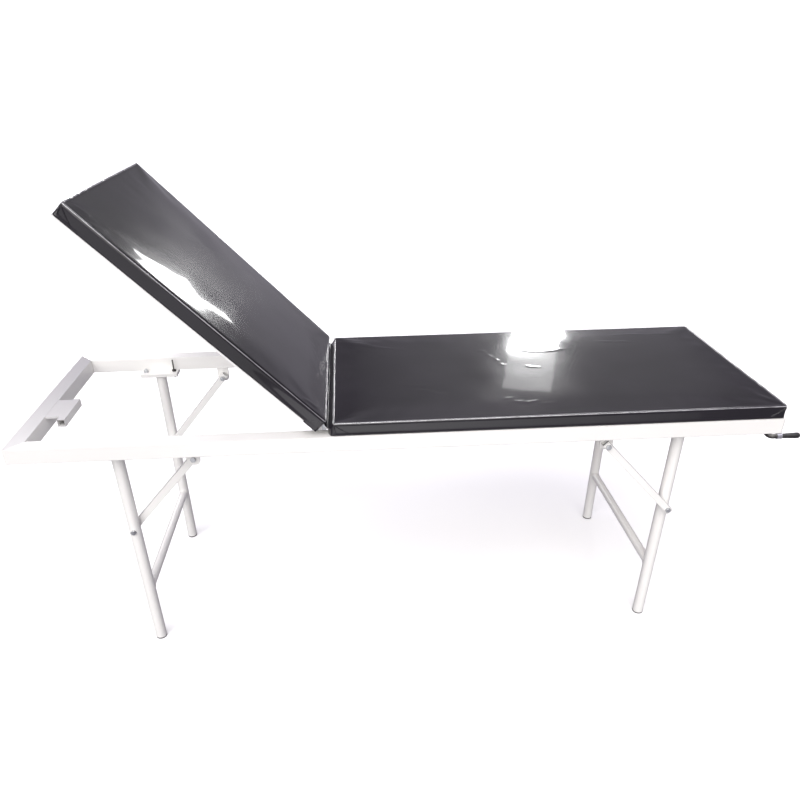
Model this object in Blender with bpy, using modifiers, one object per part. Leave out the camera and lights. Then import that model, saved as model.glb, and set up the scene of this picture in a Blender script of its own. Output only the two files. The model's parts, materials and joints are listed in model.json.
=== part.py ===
"""Two-section examination couch: a welded tube frame on four bolted legs, a fixed seat
section, and a backrest that a hand crank and a screw raise about a hinge.

Metres, +Z up. X runs along the couch from its head end to its foot end, and Y across it.
Every piece is built at its place on the flat couch, measured from the head end. The pivots
then raise the backrest, move the drive and turn the crank, and the whole couch is shifted
so that its origin is the middle of its footprint, on the floor.
"""
import math

import bmesh
import bpy
from mathutils import Matrix, Vector

# Whole frame
FRAME_LENGTH = 1.920
FRAME_WIDTH = 0.600
FRAME_TOP = 0.670
RAIL = 0.040
RAIL_WALL = 0.002
THIN_WALL = 0.0015
GAP = 0.0003
WELD = 0.0005

# Legs, feet and crossbars
LEG_X = {"head": 0.2455, "foot": 1.681}
SIDE_SIGN = {"near": -1.0, "far": 1.0}
LEG_Y = FRAME_WIDTH / 2 - 0.0515
LEG_R = 0.0155
CROSSBAR_Z = 0.185
CROSSBAR_R = 0.0125
PLUG_HEIGHT = 0.026
PLUG_SOLE = 0.004

# Plates that bolt each leg under its rail
FLANGE_LENGTH = 0.110
FLANGE_WIDTH = 0.044
FLANGE_T = 0.005
FLANGE_BOLT_DX = 0.042
FLANGE_BOLT_Y = LEG_Y - 0.001
STUD_X = 0.0430
STUD_R = 0.003
STUD_LENGTH = 0.058
STUD_DROP = 0.020

# Diagonal braces
BRACE = 0.018
BRACE_RUN = {"head": 0.190, "foot": 0.195}
BRACE_TOP_Z = {"head": 0.604, "foot": 0.600}
BRACE_LEG_Z = {"head": 0.389, "foot": 0.396}
BRACE_OVERHANG = 0.012
BRACE_CLEAR = 0.0015
NUT_CLEAR = 0.0010
TAB_T = 0.004
TAB_WIDTH = 0.034
TAB_BELOW_BOLT = 0.016
TAB_CORNER_R = 0.012

# Accessory socket
SOCKET_SIZE = 0.020
SOCKET_X = 0.0865
SOCKET_Y = (-0.147, -0.021)
SOCKET_PLATE_Y = (-0.127, -0.0245)
SOCKET_PLATE_T = 0.006

# M8 fasteners
BOLT_R = 0.004
BOLT_HOLE_R = 0.0044
HEX_R = 0.0075
HEAD_H = 0.0053
NUT_H = 0.0065
BOLT_TAIL = 0.0025

# Mattresses and what carries them
MATTRESS_HALF = 0.297
SEAT_X = 0.788
SEAT_TOP = 0.7058
BACK_HEAD_X = 0.0314
BACK_HINGE_X = 0.7469
BACK_TOP = 0.7096
PANEL_BOTTOM = 0.6705
PANEL_T = 0.004
PANEL_END_X = 0.7024
SKIN = 0.0012
SOFT_EDGE = 0.007
DECK_X = 0.800
DECK_T = 0.009
DECK_GAP = 0.0005
CROSS_TUBE = 0.030
CROSS_TUBE_X = (0.930, 1.250, 1.595)
HINGE_TUBE_X = 0.845

# Backrest hinge and frame
HINGE_X = 0.7613
HINGE_Z = 0.674
BACKREST_ANGLE = math.radians(46.0)
BACK_TUBE = 0.020
BACK_TUBE_Y = 0.225
BACK_TUBE_TOP = 0.670
BACK_HINGE_TUBE_X = 0.710
BACK_HEAD_TUBE_X = 0.140
LUG_T = 0.005
LUG_GAP = 0.0005
LUG_Y = 0.2075
LUG_INSET = 0.002
FIXED_EYE_R = 0.011
MOVING_EYE_R = 0.009
PIN_R = 0.005
PIN_HOLE_R = 0.0053

# Drive: lever, yoke, push tube, nut and screw
LEVER_R = 0.130
LEVER_SWING = math.radians(35.0)
DRIVE_Z = 0.550
DRIVE_PER_RAD = LEVER_R * math.sin(LEVER_SWING) / LEVER_SWING
LEVER_Y = 0.0185
LEVER_EYE_R = 0.012
LEVER_ROOT_HALF = 0.009
YOKE_T = 0.012
YOKE_HALF = 0.020
YOKE_LOW = 0.524
YOKE_HIGH = 0.588
SLOT_HALF = 0.0076
SLOT_LOW = 0.5362
SLOT_HIGH = 0.5785
PUSH_TUBE_R = 0.013
PUSH_TUBE_BORE = 0.0105
PUSH_TUBE_END = 1.518
NUT_R = 0.018
NUT_LENGTH = 0.035
SCREW_R = 0.009
SCREW_BORE = 0.0093
SCREW_START = 1.300
HANGER_T = 0.006
HANGER_HALF = 0.025
HANGER_LOW = 0.528
BEARING_X = 1.900
BEARING_HOLE_R = 0.0125
GUIDE_HOLE_R = 0.0165
BUSH_HALF = 0.006
RUNNING_GAP = 0.0004
COLLAR_R = 0.014
COLLAR_LENGTH = 0.0095

# Crank
HUB_R = 0.0125
CRANK_X = 1.9975
CRANK_THROW = 0.1506
CRANK_ANGLE = math.radians(5.2)
CRANK_BAR_R = 0.0065
CRANK_BEND_R = 0.012
FERRULE_X = 2.0178
FERRULE_R = 0.0078
GRIP_X = 2.0323
GRIP_END = 2.0820
SPINDLE_R = 0.003
SPINDLE_NUT_R = 0.0045
SPINDLE_NUT_LENGTH = 0.004
SPINDLE_END = 2.0915

ORIGIN_X = SPINDLE_END / 2
ROUND_STEPS = 24

MATERIALS = {
    "white_paint": ((0.86, 0.86, 0.85), 0.35, 0.0),
    "white_board": ((0.85, 0.85, 0.84), 0.40, 0.0),
    "black_vinyl": ((0.035, 0.034, 0.038), 0.22, 0.0),
    "foam": ((0.82, 0.76, 0.55), 0.95, 0.0),
    "plywood": ((0.62, 0.47, 0.30), 0.65, 0.0),
    "zinc_steel": ((0.55, 0.56, 0.58), 0.35, 1.0),
    "dark_steel": ((0.10, 0.10, 0.11), 0.40, 1.0),
    "chrome": ((0.85, 0.86, 0.88), 0.08, 1.0),
    "brass": ((0.72, 0.55, 0.25), 0.30, 1.0),
    "grey_rubber": ((0.20, 0.20, 0.21), 0.75, 0.0),
    "black_plastic": ((0.03, 0.03, 0.033), 0.40, 0.0),
    "nylon": ((0.78, 0.78, 0.74), 0.50, 0.0),
}

for old in list(bpy.data.objects):
    bpy.data.objects.remove(old, do_unlink=True)

COUCH = bpy.data.collections.new("examination_couch")
CUTTERS = bpy.data.collections.new("cutters")
bpy.context.scene.collection.children.link(COUCH)
bpy.context.scene.collection.children.link(CUTTERS)


# ---------------------------------------------------------------- helpers

def make_pivot(name, place, parent=None):
    """An empty that other pieces hang from."""
    pivot = bpy.data.objects.new(name, None)
    pivot.location = place
    COUCH.objects.link(pivot)
    if parent:
        hang(pivot, parent)
    return pivot


def hang(piece, parent):
    """Parent a piece and keep it where it was built."""
    bpy.context.view_layer.update()
    piece.parent = parent
    piece.matrix_parent_inverse = parent.matrix_world.inverted()


def finish_piece(piece, slot, parent, smooth=True):
    """Give a mesh or curve piece its own material, its shading and its parent."""
    color, roughness, metallic = MATERIALS[slot]
    material = bpy.data.materials.new(piece.name + "_" + slot)
    material.use_nodes = True
    shader = material.node_tree.nodes["Principled BSDF"]
    shader.inputs["Base Color"].default_value = (*color, 1.0)
    shader.inputs["Roughness"].default_value = roughness
    shader.inputs["Metallic"].default_value = metallic
    material.diffuse_color = (*color, 1.0)
    piece.data.materials.clear()
    piece.data.materials.append(material)
    if smooth and piece.type == "MESH":
        piece.data.shade_smooth()
        piece.data.set_sharp_from_angle(angle=math.radians(35.0))
    COUCH.objects.link(piece)
    hang(piece, parent)
    return piece


def mesh_object(name, bm):
    """A new object from a bmesh."""
    mesh = bpy.data.meshes.new(name)
    bm.to_mesh(mesh)
    bm.free()
    return bpy.data.objects.new(name, mesh)


def box_bmesh(low, high):
    """A closed box between two corners."""
    bm = bmesh.new()
    bmesh.ops.create_cube(bm, size=1.0)
    low, high = Vector(low), Vector(high)
    for vert in bm.verts:
        vert.co = (low + high) / 2 + Vector([vert.co[i] * (high[i] - low[i]) for i in range(3)])
    return bm


def add_box(name, low, high, slot, parent):
    """A box piece."""
    return finish_piece(mesh_object(name, box_bmesh(low, high)), slot, parent)


def arc(center, radius, start_deg, end_deg, steps=8):
    """Points along an arc, counter-clockwise when end is past start."""
    points = []
    for step in range(steps + 1):
        angle = math.radians(start_deg + (end_deg - start_deg) * step / steps)
        points.append((center[0] + radius * math.cos(angle), center[1] + radius * math.sin(angle)))
    return points


def circle(center, radius, steps=ROUND_STEPS):
    """Points around a full circle."""
    return arc(center, radius, 0.0, 360.0, steps)[:-1]


def extruded_curve(name, outlines, thickness):
    """A flat outline with holes in local XY, extruded along local Z about its middle."""
    curve = bpy.data.curves.new(name, "CURVE")
    curve.dimensions = "2D"
    curve.fill_mode = "BOTH"
    curve.extrude = thickness / 2
    for outline in outlines:
        spline = curve.splines.new("POLY")
        spline.points.add(len(outline) - 1)
        for point, (u, v) in zip(spline.points, outline):
            point.co = (u, v, 0.0, 1.0)
        spline.use_cyclic_u = True
    return bpy.data.objects.new(name, curve)


def to_mesh(piece):
    """The same piece as a welded mesh, in its own coordinates."""
    COUCH.objects.link(piece)
    bpy.context.view_layer.update()
    evaluated = piece.evaluated_get(bpy.context.evaluated_depsgraph_get())
    mesh = bpy.data.meshes.new_from_object(evaluated)
    bm = bmesh.new()
    bm.from_mesh(mesh)
    bmesh.ops.remove_doubles(bm, verts=bm.verts, dist=0.00001)
    bm.to_mesh(mesh)
    bm.free()
    name = piece.name
    place = piece.matrix_world.copy()
    bpy.data.objects.remove(piece, do_unlink=True)
    solid = bpy.data.objects.new(name, mesh)
    solid.matrix_world = place
    return solid


def side_plate(name, outlines, y, thickness, slot, parent):
    """A plate in the XZ plane, centred on y."""
    piece = extruded_curve(name, outlines, thickness)
    piece.matrix_world = Matrix.Translation((0, y, 0)) @ Matrix.Rotation(math.pi / 2, 4, "X")
    return finish_piece(piece, slot, parent)


def placed(solid, matrix):
    """Move a solid's mesh itself, so that it lies in the couch's own coordinates."""
    solid.data.transform(matrix @ solid.matrix_world)
    solid.matrix_world = Matrix.Identity(4)
    return solid


def plate_solid(name, outlines, thickness, matrix):
    """A plate as a mesh, turned and moved by the matrix."""
    return placed(to_mesh(extruded_curve(name, outlines, thickness)), matrix)


def weld(piece, others, parent):
    """Boolean unions that join other solids to a piece; they stay as hidden guides."""
    for other in others:
        hide_guide(other, parent)
        union = piece.modifiers.new(other.name, "BOOLEAN")
        union.operation = "UNION"
        union.solver = "EXACT"
        union.object = other
    return piece


def hide_guide(guide, parent):
    """Keep a cutter or a welded-on solid out of the couch itself, but moving with it."""
    guide.hide_render = True
    guide.display_type = "WIRE"
    CUTTERS.objects.link(guide)
    hang(guide, parent)


def square_ring(size, wall):
    """Outer and inner squares of a square tube."""
    rings = []
    for half in (size / 2, size / 2 - wall):
        rings.append([(-half, -half), (half, -half), (half, half), (-half, half)])
    return rings


def frame_matrix(start, end):
    """Local Z runs from start towards end. Local Y keeps as near to the couch's Y as it can,
    or to its X where the piece itself runs along Y."""
    along = (end - start).normalized()
    across = Vector((1, 0, 0)) if abs(along.y) > 0.9 else Vector((0, 1, 0))
    side = across.cross(along).normalized()
    across = along.cross(side)
    matrix = Matrix((side, across, along)).transposed().to_4x4()
    matrix.translation = (start + end) / 2
    return matrix


def square_tube(name, size, wall, start, end):
    """A hollow square tube between two points, open at both ends."""
    start, end = Vector(start), Vector(end)
    piece = extruded_curve(name, square_ring(size, wall), (end - start).length)
    piece.matrix_world = frame_matrix(start, end)
    return placed(to_mesh(piece), Matrix.Identity(4))


def turned(name, profile, start, end, ring=False):
    """A turned piece on the line from start towards end. The profile holds (radius, distance
    from start) and runs along the outer side from its far end back to the start."""
    bm = bmesh.new()
    verts = [bm.verts.new((radius, 0.0, along)) for radius, along in profile]
    pairs = list(zip(verts, verts[1:]))
    if ring:
        pairs.append((verts[-1], verts[0]))
    for first, second in pairs:
        bm.edges.new((first, second))
    piece = mesh_object(name, bm)
    start, end = Vector(start), Vector(end)
    matrix = frame_matrix(start, end)
    matrix.translation = start
    piece.matrix_world = matrix
    screw = piece.modifiers.new("turn", "SCREW")
    screw.axis = "Z"
    screw.angle = 2 * math.pi
    screw.steps = ROUND_STEPS
    screw.render_steps = ROUND_STEPS
    screw.use_merge_vertices = True
    screw.merge_threshold = 0.00001
    screw.use_smooth_shade = True
    return piece


def rod_profile(radius, length):
    """A solid rod with a small chamfer at both ends."""
    chamfer = min(radius * 0.2, 0.001)
    return [(0, length), (radius - chamfer, length), (radius, length - chamfer),
            (radius, chamfer), (radius - chamfer, 0), (0, 0)]


def pipe_profile(radius, bore, length):
    """A pipe or a ring."""
    return [(radius, length), (radius, 0), (bore, 0), (bore, length)]


def round_cutter(name, radius, start, end):
    """A round cutter between two points."""
    bm = bmesh.new()
    length = (Vector(end) - Vector(start)).length
    bmesh.ops.create_cone(bm, cap_ends=True, segments=ROUND_STEPS, radius1=radius,
                          radius2=radius, depth=length)
    cutter = mesh_object(name, bm)
    cutter.matrix_world = frame_matrix(Vector(start), Vector(end))
    return cutter


def cut(piece, cutters, parent):
    """Boolean differences, which stay on the piece."""
    for cutter in cutters:
        hide_guide(cutter, parent)
        boolean = piece.modifiers.new(cutter.name, "BOOLEAN")
        boolean.operation = "DIFFERENCE"
        boolean.solver = "EXACT"
        boolean.object = cutter


def loft(name, rings):
    """A skin over rings of equal point count, capped at both ends."""
    bm = bmesh.new()
    loops = [[bm.verts.new(point) for point in ring] for ring in rings]
    count = len(rings[0])
    for lower, upper in zip(loops, loops[1:]):
        for i in range(count):
            j = (i + 1) % count
            bm.faces.new((lower[i], lower[j], upper[j], upper[i]))
    bm.faces.new(list(reversed(loops[0])))
    bm.faces.new(loops[-1])
    return mesh_object(name, bm)


def hex_ring(radius, z):
    """Twelve points along a hexagon: its corners and the middles of its sides."""
    points = []
    for i in range(12):
        reach = radius if i % 2 == 0 else radius * math.cos(math.pi / 6)
        points.append((reach * math.cos(i * math.pi / 6), reach * math.sin(i * math.pi / 6), z))
    return points


def round_ring(radius, z):
    """Twelve points on a circle."""
    turns = [i * math.pi / 6 for i in range(12)]
    return [(radius * math.cos(turn), radius * math.sin(turn), z) for turn in turns]


def add_bolt(name, clamped, place):
    """A hexagon bolt with its nut run on: the head's underside is at the origin, and the nut
    bears on the far side of what the bolt clamps. The shank runs along -Z."""
    chamfer = 0.0008
    bearing = -clamped
    nut_end = bearing - NUT_H
    tip = nut_end - BOLT_TAIL
    rings = [round_ring(BOLT_R - chamfer, tip), round_ring(BOLT_R, tip + chamfer),
             round_ring(BOLT_R, nut_end), hex_ring(HEX_R, nut_end), hex_ring(HEX_R, bearing),
             round_ring(BOLT_R, bearing), round_ring(BOLT_R, 0.0), hex_ring(HEX_R, 0.0),
             hex_ring(HEX_R, HEAD_H - chamfer), round_ring(HEX_R * 0.82, HEAD_H)]
    bolt = loft(name, rings)
    bolt.matrix_world = place
    return finish_piece(bolt, "zinc_steel", couch)


def outward(side):
    """A turn that points local +Z outward, away from the couch's middle, on that side."""
    return Matrix.Rotation(-math.pi / 2 * SIDE_SIGN[side], 4, "X")


def corners():
    """The four leg corners, as (end, side, x, sign of y)."""
    for end, x in LEG_X.items():
        for side, sign in SIDE_SIGN.items():
            yield end, side, x, sign


# ---------------------------------------------------------------- main frame

def cut_rail(name, center_line, length_axis, outer_sign):
    """A frame rail whose two ends are cut at 45 degrees from its outer face inwards."""
    half = FRAME_LENGTH / 2 if length_axis == 0 else FRAME_WIDTH / 2
    across = 1 - length_axis
    middle = Vector((FRAME_LENGTH / 2, 0, FRAME_TOP - RAIL / 2))
    middle[across] = center_line
    reach = Vector((0, 0, 0))
    reach[length_axis] = half
    rail = square_tube(name, RAIL, RAIL_WALL, middle - reach, middle + reach)
    outer = center_line + outer_sign * RAIL / 2
    for vert in rail.data.vertices:
        inset = abs(vert.co[across] - outer) + GAP / math.sqrt(2)
        end = 1 if vert.co[length_axis] > middle[length_axis] else -1
        vert.co[length_axis] -= end * inset
    return rail


def make_main_frame():
    """Two side rails with the leg plates and brace tabs welded to them, and two end rails."""
    edge = FRAME_WIDTH / 2 - RAIL / 2
    for side, sign in SIDE_SIGN.items():
        rail = cut_rail("side_rail_" + side, sign * edge, 0, sign)
        weld(rail, rail_plates(side) + brace_tabs(side), couch)
        finish_piece(rail, "white_paint", couch, smooth=False)
    head = cut_rail("head_rail", RAIL / 2, 1, -1)
    finish_piece(head, "white_paint", couch, smooth=False)
    foot = cut_rail("foot_rail", FRAME_LENGTH - RAIL / 2, 1, 1)
    plate = hanger("bearing_plate", BEARING_X, FRAME_TOP - RAIL, BEARING_HOLE_R)
    weld(foot, [plate], couch)
    finish_piece(foot, "white_paint", couch, smooth=False)


def make_cross_tubes():
    """Cross tubes under the seat: the first carries the hinge lugs, the next two the guides."""
    inner = FRAME_WIDTH / 2 - RAIL - GAP
    z = FRAME_TOP - DECK_T - GAP - CROSS_TUBE / 2
    names = ("hinge_cross_tube", "guide_cross_tube_head", "guide_cross_tube_foot",
             "seat_cross_tube")
    for name, x in zip(names, (HINGE_TUBE_X, *CROSS_TUBE_X)):
        tube = square_tube(name, CROSS_TUBE, RAIL_WALL, (x, -inner, z), (x, inner, z))
        if name.startswith("hinge"):
            weld(tube, fixed_lugs(), couch)
        if name.startswith("guide"):
            plate = hanger(name + "_hanger", x, z - CROSS_TUBE / 2, GUIDE_HOLE_R)
            weld(tube, [plate], couch)
        finish_piece(tube, "white_paint", couch, smooth=False)


# ---------------------------------------------------------------- legs

def make_legs():
    """Four round legs with feet, and a crossbar between the legs of each end."""
    for end, side, x, sign in corners():
        y = sign * LEG_Y
        low = PLUG_SOLE + GAP
        top = FRAME_TOP - RAIL - 2 * FLANGE_T - GAP + 2 * WELD
        leg = turned("leg_%s_%s" % (end, side), pipe_profile(LEG_R, LEG_R - THIN_WALL, top - low),
                     (x, y, low), (x, y, top), ring=True)
        hole = round_cutter("leg_hole_%s_%s" % (end, side), BOLT_HOLE_R,
                          (x, y - 0.05, BRACE_LEG_Z[end]), (x, y + 0.05, BRACE_LEG_Z[end]))
        flange = flange_solid("flange_%s_%s" % (end, side), x, sign, top - WELD + FLANGE_T / 2)
        weld(leg, [flange], couch)
        cut(leg, [hole], couch)
        finish_piece(leg, "white_paint", couch)
        foot = turned("foot_plug_%s_%s" % (end, side), plug_profile(), (x, y, 0),
                      (x, y, PLUG_HEIGHT))
        finish_piece(foot, "grey_rubber", couch)
    for end, x in LEG_X.items():
        bar = turned("crossbar_" + end, pipe_profile(CROSSBAR_R, CROSSBAR_R - THIN_WALL, 2 * LEG_Y),
                     (x, -LEG_Y, CROSSBAR_Z), (x, LEG_Y, CROSSBAR_Z), ring=True)
        copes = []
        for side, sign in SIDE_SIGN.items():
            y = sign * LEG_Y
            copes.append(round_cutter("cope_%s_%s" % (end, side), LEG_R + GAP,
                                    (x, y, CROSSBAR_Z - 0.05), (x, y, CROSSBAR_Z + 0.05)))
        cut(bar, copes, couch)
        finish_piece(bar, "white_paint", couch)


def plug_profile():
    """A rubber plug that fills the leg's end, with a sole as wide as the leg on the floor."""
    inside = LEG_R - THIN_WALL - GAP
    chamfer = 0.001
    return [(0, PLUG_HEIGHT), (inside - chamfer, PLUG_HEIGHT), (inside, PLUG_HEIGHT - chamfer),
            (inside, PLUG_SOLE), (LEG_R, PLUG_SOLE), (LEG_R, chamfer), (LEG_R - chamfer, 0),
            (0, 0)]


def flange_solid(name, x, sign, z):
    """A rectangular plate about the leg's axis, with a bolt hole at each end."""
    half_x, half_y = FLANGE_LENGTH / 2, FLANGE_WIDTH / 2
    outline = [(-half_x, -half_y), (half_x, -half_y), (half_x, half_y), (-half_x, half_y)]
    inset = sign * (FLANGE_BOLT_Y - LEG_Y)
    holes = [circle((dx, inset), BOLT_HOLE_R, 12) for dx in (-FLANGE_BOLT_DX, FLANGE_BOLT_DX)]
    return plate_solid(name, [outline] + holes, FLANGE_T,
                       Matrix.Translation((x, sign * LEG_Y, z)))


def rail_plates(side):
    """The plates welded under one side rail, one over each leg's flange."""
    z = FRAME_TOP - RAIL + WELD - FLANGE_T / 2
    sign = SIDE_SIGN[side]
    return [flange_solid("rail_plate_%s_%s" % (end, side), x, sign, z)
            for end, x in LEG_X.items()]


def make_stud():
    """The one long clamping stud, which stands up beside the far rail at the head end."""
    x = LEG_X["head"] + STUD_X
    low = FRAME_TOP - RAIL - STUD_DROP
    stud = turned("clamp_stud", rod_profile(STUD_R, STUD_LENGTH), (x, FLANGE_BOLT_Y, low),
                  (x, FLANGE_BOLT_Y, low + STUD_LENGTH))
    finish_piece(stud, "dark_steel", couch)


# ---------------------------------------------------------------- braces

def brace_points(end, x):
    """The upper and lower bolt centres of a brace, as (x, z) pairs."""
    run = BRACE_RUN[end] if end == "head" else -BRACE_RUN[end]
    return (x + run, BRACE_TOP_Z[end]), (x, BRACE_LEG_Z[end])


def brace_lines(end):
    """Distances from the couch's middle: the brace's axis at its top and at its foot, and the
    seats of its bolts' heads. Then what its bolts clamp besides the tab or the leg."""
    face = LEG_Y + LEG_R
    if end == "head":
        top = face - TAB_T - BRACE_CLEAR - BRACE / 2
        foot = LEG_Y - LEG_R - BRACE_CLEAR - BRACE / 2
        return top, foot, face + GAP, GAP + BRACE_CLEAR + BRACE + NUT_CLEAR
    axis = face + GAP + BRACE / 2
    return axis, axis, face + BRACE + 2 * GAP, BRACE + 3 * GAP


def make_braces():
    """Square-tube braces from each leg up to a tab under the rail. At the head end they run
    inside the legs and tabs, at the foot end outside them. All bolts go in from outside."""
    for end, side, x, sign in corners():
        top_y, foot_y, seat_y, clamped = brace_lines(end)
        (top_x, top_z), (foot_x, foot_z) = brace_points(end, x)
        top = Vector((top_x, sign * top_y, top_z))
        foot = Vector((foot_x, sign * foot_y, foot_z))
        reach = (top - foot).normalized() * BRACE_OVERHANG
        name = "brace_%s_%s" % (end, side)
        brace = square_tube(name, BRACE, THIN_WALL, foot - reach, top + reach)
        across = Vector((0, BRACE, 0))
        holes = []
        for spot, center, through in (("upper", top, TAB_T), ("lower", foot, 2 * LEG_R)):
            holes.append(round_cutter("%s_%s_hole" % (name, spot), BOLT_HOLE_R,
                                      center - across, center + across))
            place = Matrix.Translation((center.x, sign * seat_y, center.z)) @ outward(side)
            add_bolt("%s_bolt_%s" % (name, spot), clamped + through, place)
        cut(brace, holes, couch)
        finish_piece(brace, "white_paint", couch, smooth=False)


def brace_tabs(side):
    """The drilled tabs welded under one side rail, one for each brace."""
    y = SIDE_SIGN[side] * (LEG_Y + LEG_R - TAB_T / 2)
    half = TAB_WIDTH / 2
    inner = half - TAB_CORNER_R
    corner_z = TAB_CORNER_R - TAB_BELOW_BOLT
    tabs = []
    for end, x in LEG_X.items():
        (tab_x, tab_z), leg_bolt = brace_points(end, x)
        high = FRAME_TOP - RAIL + WELD - tab_z
        outline = (arc((-inner, corner_z), TAB_CORNER_R, 180, 270, 5)
                   + arc((inner, corner_z), TAB_CORNER_R, 270, 360, 5)
                   + [(half, high), (-half, high)])
        matrix = Matrix.Translation((tab_x, y, tab_z)) @ Matrix.Rotation(math.pi / 2, 4, "X")
        tabs.append(plate_solid("tab_%s_%s" % (end, side),
                                [outline, circle((0, 0), BOLT_HOLE_R, 12)], TAB_T, matrix))
    return tabs


# ---------------------------------------------------------------- accessory socket

def make_socket():
    """A short open tube beside the head rail, on a plate that joins it to the rail."""
    z = FRAME_TOP - SOCKET_SIZE / 2
    tube = square_tube("accessory_socket", SOCKET_SIZE, THIN_WALL, (SOCKET_X, SOCKET_Y[0], z),
                       (SOCKET_X, SOCKET_Y[1], z))
    low = (RAIL + GAP, SOCKET_PLATE_Y[0], FRAME_TOP - SOCKET_PLATE_T)
    high = (SOCKET_X - SOCKET_SIZE / 2 + WELD, SOCKET_PLATE_Y[1], FRAME_TOP)
    plate = mesh_object("socket_plate", box_bmesh(low, high))
    weld(tube, [plate], couch)
    finish_piece(tube, "white_paint", couch, smooth=False)


# ---------------------------------------------------------------- mattresses

def mattress_profile(head, hinge, low, top, step=None):
    """A mattress from the side. Past the step, if it has one, it reaches down to a deeper
    edge, which wraps the end of the panel under it."""
    points = [(head, low), (hinge, low), (hinge, top), (head, top)]
    if step:
        step_x, deep = step
        points[1:2] = [(step_x, low), (step_x, deep), (hinge, deep)]
    return points


def soft_block(name, profile, half_width, radius):
    """A profile in XZ pushed across the couch, with round top edges and upright corners."""
    bm = bmesh.new()
    side = bm.faces.new([bm.verts.new((x, -half_width, z)) for x, z in profile])
    pushed = bmesh.ops.extrude_face_region(bm, geom=[side])
    for item in pushed["geom"]:
        if isinstance(item, bmesh.types.BMVert):
            item.co.y += 2 * half_width
    bmesh.ops.recalc_face_normals(bm, faces=bm.faces)
    top = max(z for x, z in profile)
    edges = [edge for edge in bm.edges if max(vert.co.z for vert in edge.verts) > top - GAP]
    bmesh.ops.bevel(bm, geom=edges, offset=radius, segments=2, profile=0.5, affect="EDGES")
    return mesh_object(name, bm)


def add_mattress(section, ends, low, top, parent, step=None):
    """A foam block in a sewn vinyl cover that is open underneath."""
    head, hinge = ends
    inset = SKIN + GAP
    core = mattress_profile(head + inset, hinge - inset, low + GAP, top - inset)
    foam = soft_block(section + "_foam", core, MATTRESS_HALF - inset, SOFT_EDGE - SKIN)
    finish_piece(foam, "foam", parent)
    profile = mattress_profile(head, hinge, low, top, step)
    cover = soft_block(section + "_cover", profile, MATTRESS_HALF, SOFT_EDGE)
    hollow = mattress_profile(head + SKIN, hinge - SKIN, low - 0.01, top - SKIN)
    core = soft_block(section + "_hollow", hollow, MATTRESS_HALF - SKIN, SOFT_EDGE - SKIN)
    cut(cover, [core], parent)
    finish_piece(cover, "black_vinyl", parent)


def make_seat():
    """The seat's plywood deck and its mattress."""
    half = FRAME_WIDTH / 2 - RAIL - DECK_GAP
    add_box("seat_deck", (DECK_X, -half, FRAME_TOP - DECK_T),
            (FRAME_LENGTH - RAIL - DECK_GAP, half, FRAME_TOP), "plywood", couch)
    add_mattress("seat", (SEAT_X, FRAME_LENGTH), FRAME_TOP + GAP, SEAT_TOP, couch)


# ---------------------------------------------------------------- backrest

def make_backrest():
    """The backrest's tube frame, its panel and its mattress, built lying flat."""
    z = BACK_TUBE_TOP - BACK_TUBE / 2
    half = BACK_TUBE / 2
    reach = BACK_TUBE_Y + half
    start = BACK_HEAD_TUBE_X + half + GAP
    end = BACK_HINGE_TUBE_X - half - GAP
    inner = BACK_TUBE_Y - half - GAP
    middle = (start + end) / 2
    tubes = {
        "backrest_head_tube": ((BACK_HEAD_TUBE_X, -reach, z), (BACK_HEAD_TUBE_X, reach, z)),
        "backrest_mid_tube": ((middle, -inner, z), (middle, inner, z)),
        "backrest_side_tube_near": ((start, -BACK_TUBE_Y, z), (end, -BACK_TUBE_Y, z)),
        "backrest_side_tube_far": ((start, BACK_TUBE_Y, z), (end, BACK_TUBE_Y, z)),
    }
    for name, (first, last) in tubes.items():
        tube = square_tube(name, BACK_TUBE, THIN_WALL, first, last)
        finish_piece(tube, "white_paint", backrest, smooth=False)
    hinge_tube = square_tube("backrest_hinge_tube", BACK_TUBE, THIN_WALL,
                             (BACK_HINGE_TUBE_X, -reach, z), (BACK_HINGE_TUBE_X, reach, z))
    weld(hinge_tube, moving_lugs() + lever_plates(), backrest)
    finish_piece(hinge_tube, "white_paint", backrest, smooth=False)
    add_box("backrest_panel", (BACK_HEAD_X, -MATTRESS_HALF, PANEL_BOTTOM),
            (PANEL_END_X, MATTRESS_HALF, PANEL_BOTTOM + PANEL_T), "white_board", backrest)
    add_mattress("backrest", (BACK_HEAD_X, BACK_HINGE_X), PANEL_BOTTOM + PANEL_T + GAP, BACK_TOP,
                 backrest, step=(PANEL_END_X + GAP, PANEL_BOTTOM + GAP))


def upright(y):
    """The turn that stands a flat outline up in the XZ plane at y."""
    return Matrix.Translation((0, y, 0)) @ Matrix.Rotation(math.pi / 2, 4, "X")


def fixed_lugs():
    """Two pairs of lugs on the hinge cross tube."""
    eye = (HINGE_X, HINGE_Z)
    hole = circle(eye, PIN_HOLE_R)
    weld_x = HINGE_TUBE_X - CROSS_TUBE / 2 + WELD
    low = FRAME_TOP - DECK_T - CROSS_TUBE + WELD
    high = FRAME_TOP - DECK_T - 2 * GAP
    outline = [(weld_x, low), (weld_x, high), (SEAT_X - LUG_INSET, high)]
    outline += arc(eye, FIXED_EYE_R, 25, 245)
    offset = LUG_T + LUG_GAP
    ys = [sign * LUG_Y + step for sign in (-1, 1) for step in (-offset, offset)]
    return [plate_solid("fixed_lug_%d" % index, [outline, hole], LUG_T, upright(y))
            for index, y in enumerate(ys)]


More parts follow.
